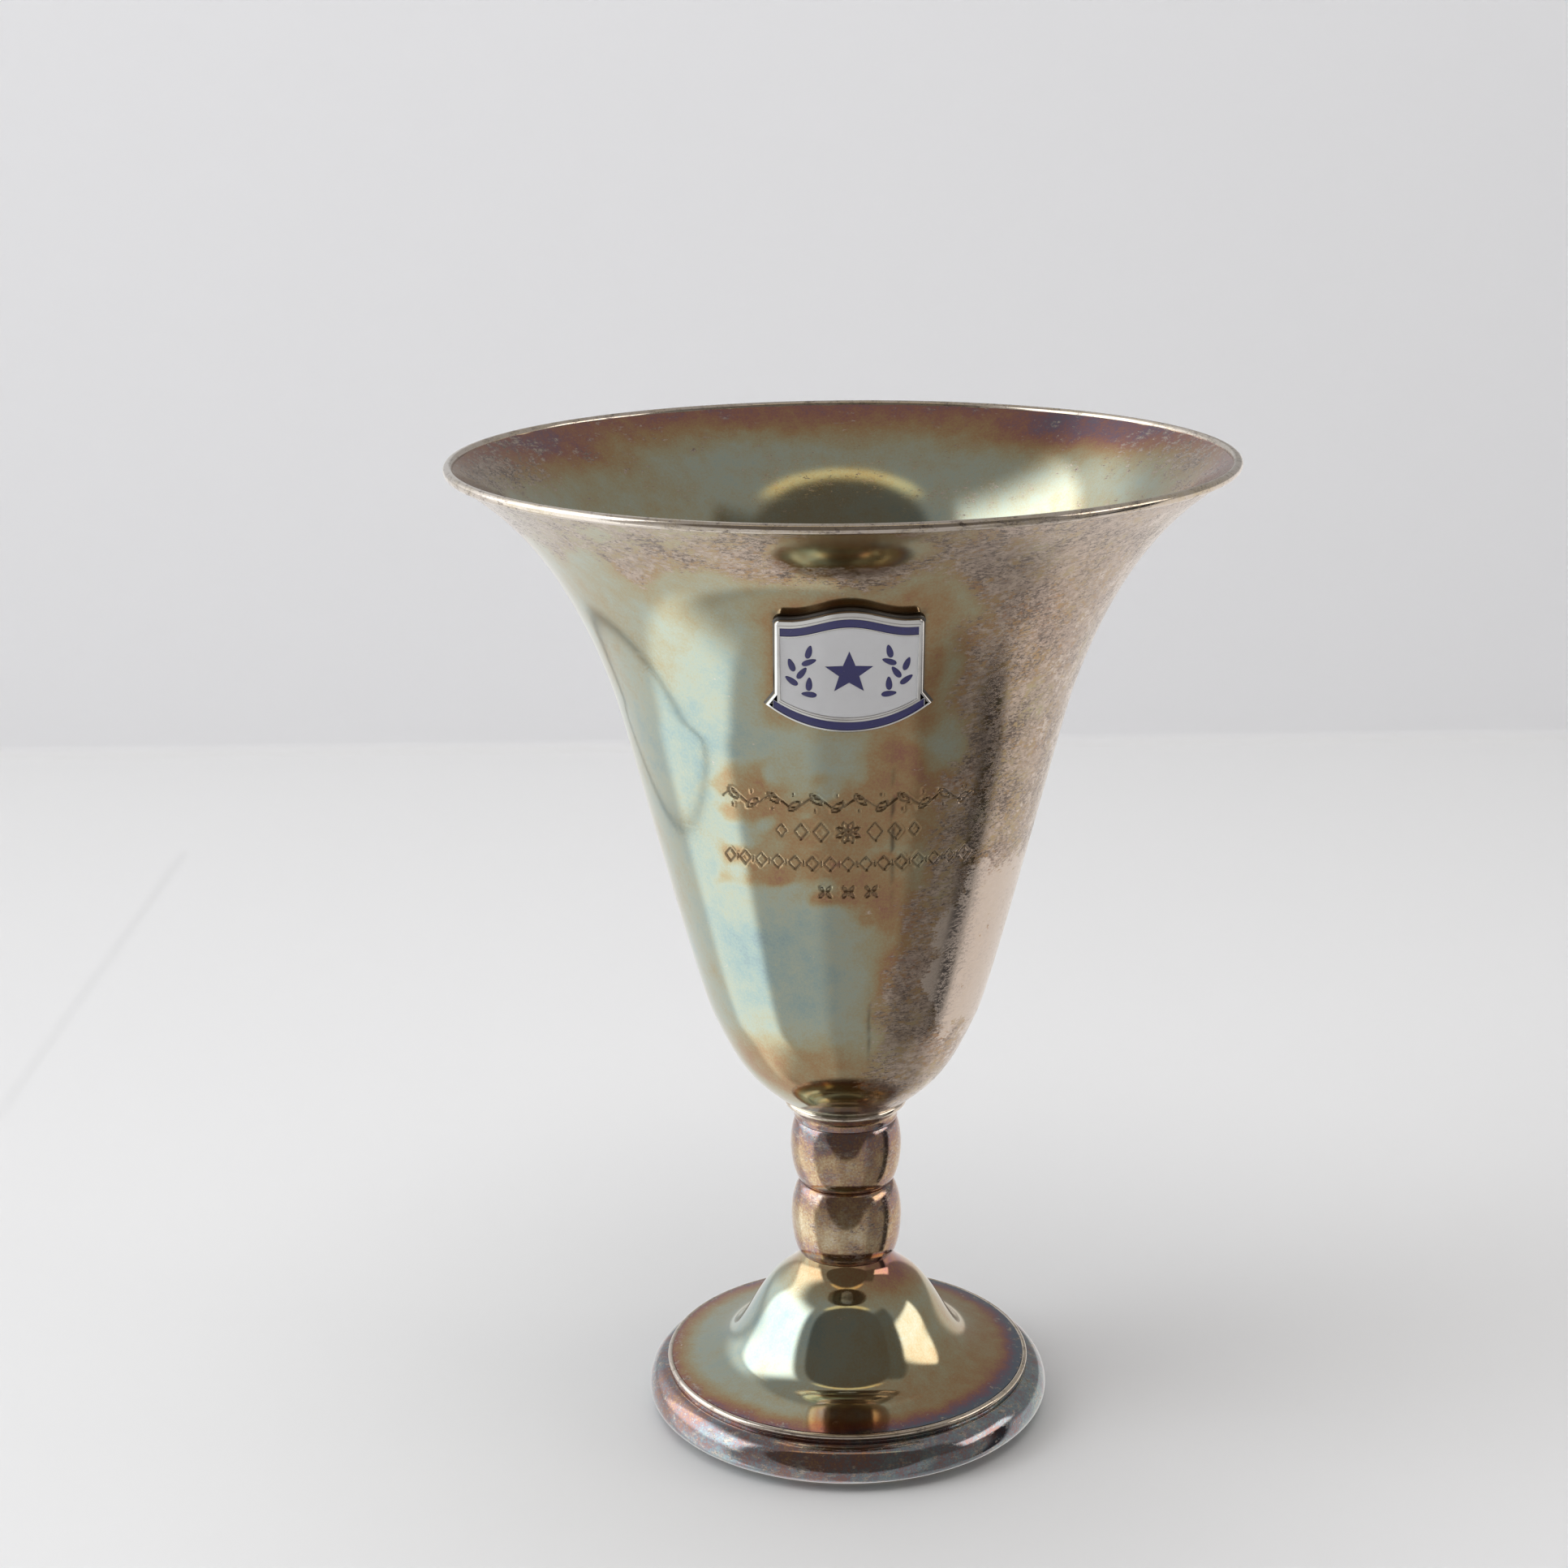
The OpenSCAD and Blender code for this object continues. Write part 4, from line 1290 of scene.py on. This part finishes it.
@dataclass
class Stem:
    """The collar under the bowl and the two hollow knops."""

    bowl: Bowl
    knop_r: float = 9.1
    notch_r: float = 7.2
    wall: float = 0.9
    end_t: float = 0.8
    leanness: float = 1.1
    upper_mid: float = 0.57
    lower_mid: float = 0.53
    foot_end_r: float = 7.7
    collar_low_r: float = 8.5
    bead_r: float = 0.6
    bore_r: float = 6.3
    columns: int = 144

    def knop(self, z0: float, z1: float, mid: float, r0: float, r1: float) -> Solid:
        """A hollow knop between two heights.

        Args:
            z0: Height of its lower end.
            z1: Height of its upper end.
            mid: Where it is widest, as a share of its height.
            r0: Radius of its lower end.
            r1: Radius of its upper end.

        Returns:
            The closed solid, with its bore.
        """
        zm, w, e = z0 + mid * (z1 - z0), self.wall, self.end_t
        r, full = self.knop_r, self.leanness
        outer = joined(quarter(r, zm, r0, z0, full, 28)[::-1], quarter(r, zm, r1, z1, full, 28))
        inner = joined(quarter(r - w, zm, r0 - w, z0 + e, full, 10)[::-1],
                       quarter(r - w, zm, r1 - w, z1 - e, full, 10))
        return turned(joined([[self.bore_r, z0]], outer, [[self.bore_r, z1]], inner[::-1]),
                      even_columns(self.columns))

    def collar(self, z0: float, z1: float) -> Solid:
        """The flared collar, with its top hollowed to the bowl's bottom."""
        edge, ease = self.bowl.seat_r - 0.5, 0.3
        low = np.array([self.collar_low_r, z0 + 2 * ease])
        top = np.array([edge, z1 - 2 * self.bead_r])
        under = self.bowl.line[self.bowl.line[:, 0] < edge - 0.1]
        under = under[under[:, 0] > self.bore_r][::-1]
        shape = joined([[self.bore_r, z0], [self.collar_low_r - ease, z0],
                        [self.collar_low_r - 0.09, z0 + 0.09], [self.collar_low_r, z0 + ease]],
                       bend(low, 90, 0.8, top, 50, 0.8, 14),
                       [[edge, np.interp(edge, *self.bowl.line.T)]], under,
                       [[self.bore_r, np.interp(self.bore_r, *self.bowl.line.T)]])
        return turned(shape, even_columns(self.columns))

    def tone(self, solid: Solid, z0: float, z1: float) -> None:
        """Paints a piece's tarnish between two heights: a thicker film at its ends."""
        t = (solid.points[:, 2] - z0) / (z1 - z0)
        solid.paint = {"film": 0.25 + 0.05 * np.cos(t * 2 * math.pi),
                       "wear": np.full_like(t, 0.38)}

    def build(self, finishes: Finishes) -> None:
        """Makes the collar, its bead and the knops."""
        foot_z, joint_z, collar_z = (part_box(n)[1].z / MM for n in
                                     ("foot_dome", "lower_knop", "upper_knop"))
        seat_z = self.bowl.seat_z
        upper = self.knop(joint_z, collar_z, self.upper_mid, self.notch_r,
                          self.collar_low_r - 0.5)
        lower = self.knop(foot_z, joint_z, self.lower_mid, self.foot_end_r, self.notch_r)
        collar = self.collar(collar_z, seat_z)
        for solid, low, high, name, node in (
                (upper, joint_z, collar_z, "knop_upper", "upper_knop"),
                (lower, foot_z, joint_z, "knop_lower", "lower_knop"),
                (collar, collar_z, seat_z, "stem_collar", "collar")):
            self.tone(solid, low, high)
            place_piece(solid.make(name), finishes.knop, "stem_silver", node)
        place_ring("collar_ring", "collar_bead", self.bowl.seat_r - self.bead_r,
                   seat_z - self.bead_r, self.bead_r, self.columns, 18, finishes.wire)


@dataclass
class Foot:
    """The domed foot, its rolled border, its bead and the base ring."""

    neck_r: float = 7.8
    edge: tuple[float, float] = (29.4, 8.6)
    wall: float = 0.8
    plateau_w: float = 2.4
    plateau_angle: float = 9.0
    shoulder_out: float = 4.2
    shoulder_drop: float = 5.1
    waist_out: float = 9.5
    waist_rise: float = 5.6
    border_r: float = 33.3
    border_mid_z: float = 3.3
    border_bulge: float = 3.3
    ring_t: float = 0.7
    border_wall: float = 0.8
    border_step: float = 1.4
    flange_w: float = 2.2
    ring_w: float = 2.5
    cap_t: float = 0.9
    bead_r: float = 0.5
    bead_out: float = 0.3
    bore_r: float = 6.3
    columns: int = 224

    def dome_line(self, top_z: float) -> Array:
        """The dome's outer line, from the neck down to its edge."""
        neck = np.array([self.neck_r, top_z])
        shoulder = neck + [self.shoulder_out, -self.shoulder_drop]
        waist = np.array([self.neck_r + self.waist_out, self.edge[1] + self.waist_rise])
        slope = math.tan(math.radians(self.plateau_angle))
        plateau = np.array(self.edge) + self.plateau_w * np.array([-1, slope])
        return joined(bend(neck, -90, 2.2, shoulder, -42, 2.2, 24),
                      bend(shoulder, -42, 3, waist, -57, 3, 24),
                      bend(waist, -57, 5, plateau, -self.plateau_angle, 6, 36), [self.edge])

    def dome(self, top_z: float) -> Solid:
        """The dome's shell."""
        line = self.dome_line(top_z)
        inner = line + self.wall * -left_normals(line)
        under = top_z - self.cap_t
        inner = inner[inner[:, 1] < under - 0.1]
        shape = joined([[self.bore_r, top_z]], line, inner[::-1],
                       [[self.neck_r - self.wall, under], [self.bore_r, under]])
        return turned(shape[::-1], even_columns(self.columns))

    def border(self) -> Solid:
        """The rolled border's shell."""
        end, top = self.border_r - self.border_bulge, self.edge[1] - self.border_step
        zm, low, w = self.border_mid_z, self.ring_t, self.border_wall
        outer = joined(quarter(self.border_r, zm, end, low, 1, 24)[::-1],
                       quarter(self.border_r, zm, end, top, 1, 24))
        inner = joined(quarter(self.border_r - w, zm, end, low + w, 1, 12)[::-1],
                       quarter(self.border_r - w, zm, end, top - w, 1, 12))
        angle = math.radians(self.plateau_angle)

        def dome_under(r: float) -> float:
            """Height of the dome's underside at a radius."""
            return self.edge[1] - self.wall / math.cos(angle) + (self.edge[0] - r) * math.tan(angle)

        step, flange = self.edge[0] - 0.05, self.edge[0] - self.flange_w
        shape = joined([[end - 2, low]], outer,
                       [[end, top + 0.2], [step, dome_under(step)],
                        [flange, dome_under(flange)], [flange, dome_under(flange) - w],
                        [self.edge[0] - 0.9, top - w]], inner[::-1], [[end - 2, low + w]])
        return turned(shape, even_columns(self.columns))

    def base(self) -> Solid:
        """The flat ring that the cup stands on."""
        end, half = self.border_r - self.border_bulge, self.ring_t / 2
        a = np.radians(np.linspace(-90, 90, 9))
        edge = np.stack([end - half + half * np.cos(a), half + half * np.sin(a)], 1)
        shape = joined([[end - self.ring_w, 0]], edge, [[end - self.ring_w, self.ring_t]])
        return turned(shape, even_columns(self.columns))

    def build(self, finishes: Finishes) -> None:
        """Makes the foot's four pieces."""
        top_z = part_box("foot_dome")[1].z / MM
        dome = self.dome(top_z)
        r, z = np.hypot(dome.points[:, 0], dome.points[:, 1]), dome.points[:, 2]
        side = dome.points[:, 0] / np.maximum(r, 1)
        film = 0.58 + 0.08 * side + 0.08 * smooth(14, 24, r) + 0.30 * smooth(24.5, 29.6, r)
        film += 0.20 * smooth(20, 25, z)
        dome.paint = {"film": film, "wear": 0.08 + 0.24 * smooth(25, 29, r)}
        place_piece(dome.make("foot_dome_shell"), finishes.foot, "foot_silver", "foot_dome")
        border = self.border()
        z = border.points[:, 2]
        border.paint = {"film": 0.33 + 0.05 * smooth(5, 1, z), "wear": np.full_like(z, 0.36)}
        place_piece(border.make("foot_border_roll"), finishes.border, "border_silver",
                    "foot_border")
        place_ring("foot_bead_ring", "foot_bead", self.edge[0] + self.bead_out,
                   self.edge[1] - self.bead_r, self.bead_r, self.columns, 16, finishes.wire)
        base = self.base()
        place_piece(base.make("foot_base_ring"), finishes.wire, "wire_silver", "base_ring")


@dataclass
class Fixings:
    """The hidden brass pieces that hold the cup together."""

    rod_r: float = 2.5
    pitch: float = 0.8
    thread_depth: float = 0.3
    chamfer: float = 0.4
    rows_a_turn: int = 8
    sides: int = 48

    def rod(self, z0: float, z1: float) -> Solid:
        """A threaded rod, with its thread running to plain chamfered ends."""
        z = np.linspace(z0, z1, int((z1 - z0) / self.pitch * self.rows_a_turn) + 1)
        a = np.radians(even_columns(self.sides))
        fade = smooth(z0 + 0.3, z0 + 1.4, z) * smooth(z1 - 0.3, z1 - 1.4, z)
        phase = (z[:, None] / self.pitch - a[None, :] / (2 * math.pi)) % 1
        depth = self.thread_depth * np.abs(2 * phase - 1) * fade[:, None]
        chamfer = self.chamfer * (1 - np.clip(np.minimum(z - z0, z1 - z) / self.chamfer, 0, 1))
        r = self.rod_r - depth - chamfer[:, None]
        ring = spun(r, a, z[:, None]).reshape(-1, 3)
        solid, n, m = Solid(np.concatenate([ring, [[0, 0, z0], [0, 0, z1]]])), self.sides, len(z)
        for i in range(m - 1):
            for k in range(n):
                j = (k + 1) % n
                solid.faces.append((i * n + k, i * n + j, (i + 1) * n + j, (i + 1) * n + k))
        for k in range(n):
            j = (k + 1) % n
            solid.faces.append((m * n, j, k))
            solid.faces.append((m * n + 1, (m - 1) * n + k, (m - 1) * n + j))
        return solid

    def build(self, finishes: Finishes) -> None:
        """Threads the rod and dresses the other brass pieces."""
        low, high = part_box("tie_rod")
        rod = self.rod(low.z / MM, high.z / MM)
        place_piece(rod.make("rod_threaded", 60), finishes.brass, "hidden_brass", "tie_rod")
        for name in ("bowl_boss", "knop_spigot", "foot_bush", "rod_washer", "rod_nut"):
            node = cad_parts[name]
            node.data.materials.clear()
            node.data.materials.append(finishes.brass)
            log.info("%s: CAD node in brass", name)


# Studio ---------------------------------------------------------------------------------------


@dataclass(frozen=True)
class Patch:
    """A lit or dark patch of the room, seen in reflections only.

    Angles are in degrees: azimuth 0 lies behind the camera and grows towards +X.
    """

    azimuth: float
    half_width: float
    low: float
    high: float
    colour: Triple
    strength: float
    side_soft: float
    end_soft: float


@dataclass(frozen=True)
class Cone:
    """A round patch of the room about one direction, in degrees, seen in reflections only."""

    azimuth: float
    height: float
    radius: float
    colour: Triple
    soft: float


@dataclass
class Studio:
    """Floor, backdrop, lights, the room that the metal reflects, and the camera."""

    floor_colour: Triple = (0.73, 0.732, 0.74)
    wall_colour: Triple = (0.93, 0.935, 0.96)
    wall_y: float = 0.42
    sweep_r: float = 0.004
    table_shine: Triple = (0.46, 0.45, 0.44)
    ceiling: Triple = (0.38, 0.37, 0.36)
    patches: tuple[Patch, ...] = (
        Patch(-60, 42, -84, -18, (1.0, 1.0, 0.98), 0.62, 16, 14),
        Patch(-150, 40, -88, 0, (1.0, 1.0, 1.0), 0.92, 14, 14),
        Patch(-94, 23, -58, 0, (0.95, 0.99, 1.0), 1.5, 9, 14),
        Patch(145, 45, -50, 2, (1.0, 0.96, 0.93), 0.88, 6, 14),
        Patch(89, 8, -48, 12, (1.0, 1.0, 1.08), 0.06, 4, 6),
        Patch(63, 20, -62, 8, (1.0, 0.96, 0.92), 0.30, 10, 12),
        Patch(50, 18, 6, 50, (1.0, 0.96, 0.90), 0.17, 8, 8),
        Patch(-160, 40, 0, 52, (0.98, 0.99, 1.0), 0.62, 8, 8),
        Patch(145, 36, 0, 52, (1.0, 0.98, 0.95), 0.38, 8, 8),
        Patch(-110, 35, 4, 44, (0.97, 0.99, 1.0), 1.2, 24, 14),
        Patch(-94, 30, 4, 46, (0.95, 0.98, 1.0), 2.6, 9, 20),
        Patch(85, 19, 12, 30, (1.0, 0.95, 0.90), 2.3, 5, 5),
    )
    cameraman: Cone = Cone(-1, 24, 44, (0.15, 0.135, 0.12), 4)
    lamp_arc: Cone = Cone(-1, 24, 48, (1.2, 1.0, 0.62), 3)
    sheet_edge_x: float = -0.1795
    sheet_edge_y: tuple[float, float] = (-0.06, 0.32)
    sheet_edge_w: float = 0.003
    sheet_edge_z: float = 0.0004
    lamp_heights: tuple[float, float] = (54.0, 62.0)
    backdrop: Triple = (0.74, 0.74, 0.76)
    camera_place: Triple = (-8.77, -418.5, 224.9)
    yaw: float = -0.097
    pitch: float = 15.693
    roll: float = -0.714
    lens: float = 62.78

    def floor(self) -> None:
        """A pale tabletop that sweeps up into a pale wall."""
        turn = np.radians(np.linspace(0, 90, 17))
        curve = np.stack([self.wall_y + self.sweep_r * np.sin(turn),
                          self.sweep_r - self.sweep_r * np.cos(turn)], 1)
        line = np.concatenate([[[-1.6, 0.0]], curve, [[self.wall_y + self.sweep_r, 1.6]]])
        line[:, 1] -= 0.0001
        points = [(x, y, z) for x in (-2.0, 2.0) for y, z in line]
        n = len(line)
        faces = [(k, n + k, n + k + 1, k + 1) for k in range(n - 1)]
        mesh = bpy.data.meshes.new("studio_floor")
        mesh.from_pydata(points, [], faces)
        mesh.shade_smooth()
        obj = in_scene("studio_floor", mesh)
        material, m = new_material("studio_paper")
        place = m.add("ShaderNodeTexCoord").outputs["Object"]
        grain = m.named("ShaderNodeTexNoise", {"Scale": 900.0}, place).outputs[0]
        height = m.add("ShaderNodeSeparateXYZ", place).outputs["Z"]
        colour = m.blend(m.step(0.0, self.sweep_r, height), opaque(self.floor_colour),
                         opaque(self.wall_colour))
        m.surface({"Base Color": colour, "Roughness": 0.6, "Normal": m.bump(0.05, 0.0002, grain)})
        mesh.materials.append(material)
        obj.visible_glossy = False

    def sheet_edge(self) -> None:
        """The dark edge of the paper sheet beside the cup, seen in reflections only."""
        x, half, (y0, y1) = self.sheet_edge_x, self.sheet_edge_w / 2, self.sheet_edge_y
        z = self.sheet_edge_z
        mesh = bpy.data.meshes.new("studio_sheet_edge")
        mesh.from_pydata([(x - half, y0, z), (x + half, y0, z), (x + half, y1, z),
                          (x - half, y1, z)], [], [(0, 1, 2, 3)])
        material, m = new_material("studio_sheet_edge")
        m.surface({"Base Color": (0.03, 0.03, 0.03, 1), "Roughness": 0.8})
        mesh.materials.append(material)
        obj = in_scene("studio_sheet_edge", mesh)
        obj.visible_camera = obj.visible_diffuse = obj.visible_shadow = False

    def surroundings(self) -> None:
        """The room as the metal sees it: dim walls with bright windows."""
        world = bpy.data.worlds.new("room")
        world.use_nodes = True
        bpy.context.scene.world = world
        m = NodeMaker(world.node_tree)
        direction = m.add("ShaderNodeTexCoord").outputs["Generated"]
        parts = m.add("ShaderNodeSeparateXYZ", direction)
        x, y, z = parts.outputs[0], parts.outputs[1], parts.outputs[2]
        # Azimuth is 0 towards the camera and grows towards +X, -180 to 180.
        azimuth = m.math("MULTIPLY", m.math("ARCTAN2", x, m.math("MULTIPLY", y, -1.0)),
                         180 / math.pi)
        height = m.math("MULTIPLY", m.math("ARCSINE", z), 180 / math.pi)
        colour = m.blend(m.step(-3, 3, height), opaque(self.table_shine), opaque(self.ceiling))
        for patch in self.patches:
            off = m.math("SUBTRACT", azimuth, patch.azimuth)
            off = m.math("ABSOLUTE", m.math("WRAP", off, 180.0, -180.0))
            half = patch.side_soft / 2
            across = m.step(patch.half_width + half, patch.half_width - half, off)
            half = patch.end_soft / 2
            up = m.math("MULTIPLY", m.step(patch.low - half, patch.low + half, height),
                        m.step(patch.high + half, patch.high - half, height))
            colour = m.blend(m.math("MULTIPLY", across, up), colour,
                             opaque(patch.colour, patch.strength))
        for cone in (self.lamp_arc, self.cameraman):
            a, e = math.radians(cone.azimuth), math.radians(cone.height)
            axis = (math.sin(a) * math.cos(e), -math.cos(a) * math.cos(e), math.sin(e))
            along = m.add("ShaderNodeVectorMath", direction, axis, operation="DOT_PRODUCT")
            angle = m.math("MULTIPLY", m.math("ARCCOSINE", along.outputs["Value"]),
                           180 / math.pi)
            share = m.step(cone.radius + cone.soft / 2, cone.radius - cone.soft / 2, angle)
            if cone is self.lamp_arc:
                share = m.math("MULTIPLY", share, m.step(*self.lamp_heights, height))
            colour = m.blend(share, colour, opaque(cone.colour))
        seen = m.add("ShaderNodeLightPath").outputs["Is Camera Ray"]
        colour = m.blend(seen, colour, opaque(self.backdrop))
        background = m.add("ShaderNodeBackground", colour)
        m.add("ShaderNodeOutputWorld", background.outputs[0])

    def light(self, name: str, place: Triple, size: float, power: float,
              colour: Triple,
              aim: Triple = (0.0, 0.0, 0.08)) -> None:
        """An area light that faces the cup, or another aim. Reflections don't show it."""
        data = bpy.data.lights.new(name, "AREA")
        data.size, data.energy, data.color = size, power, colour
        obj = in_scene(name, data)
        way = Vector(aim) - Vector(place)
        obj.rotation_euler = way.to_track_quat("-Z", "Y").to_euler()
        obj.location = place
        obj.visible_glossy = False

    def camera(self) -> None:
        """The camera in front of the cup, a little above it."""
        yaw, pitch, roll = (math.radians(a) for a in (self.yaw, self.pitch, self.roll))
        ahead = Vector((math.sin(yaw) * math.cos(pitch), math.cos(yaw) * math.cos(pitch),
                        -math.sin(pitch)))
        right = Vector((math.cos(yaw), -math.sin(yaw), 0))
        up = right.cross(ahead)
        x_axis = math.cos(roll) * right + math.sin(roll) * up
        y_axis = -math.sin(roll) * right + math.cos(roll) * up
        data = bpy.data.cameras.new("camera")
        data.lens, data.sensor_width = self.lens, 36
        data.clip_start = 0.01
        obj = in_scene("camera", data)
        turn = Matrix((x_axis, y_axis, -ahead)).transposed().to_4x4()
        obj.matrix_world = Matrix.Translation(Vector(self.camera_place) * MM) @ turn
        bpy.context.scene.camera = obj

    def build(self) -> None:
        """Sets up the whole studio."""
        self.floor()
        self.sheet_edge()
        self.surroundings()
        self.light("key", (-0.9, -0.3, 0.8), 0.7, 3.0, (0.98, 0.99, 1.0))
        self.light("top", (-0.1, -0.1, 1.4), 1.2, 7.0, (1.0, 1.0, 1.0))
        self.light("wall", (0.0, 0.0, 1.0), 0.9, 2.0, (0.97, 0.98, 1.0), (0.0, 0.45, 0.45))
        self.camera()
        scene = bpy.context.scene
        scene.view_settings.view_transform = "Standard"
        scene.view_settings.look = "None"


def main() -> None:
    """Builds the cup piece by piece, then the studio."""
    logging.basicConfig(level=logging.INFO, format="%(message)s")
    Studio().build()
    finishes = Finishes()
    bowl = Bowl()
    bowl.build(finishes)
    Badge(bowl).build(finishes)
    Stem(bowl).build(finishes)
    Foot().build(finishes)
    Fixings().build(finishes)


if __name__ == "__main__":
    main()
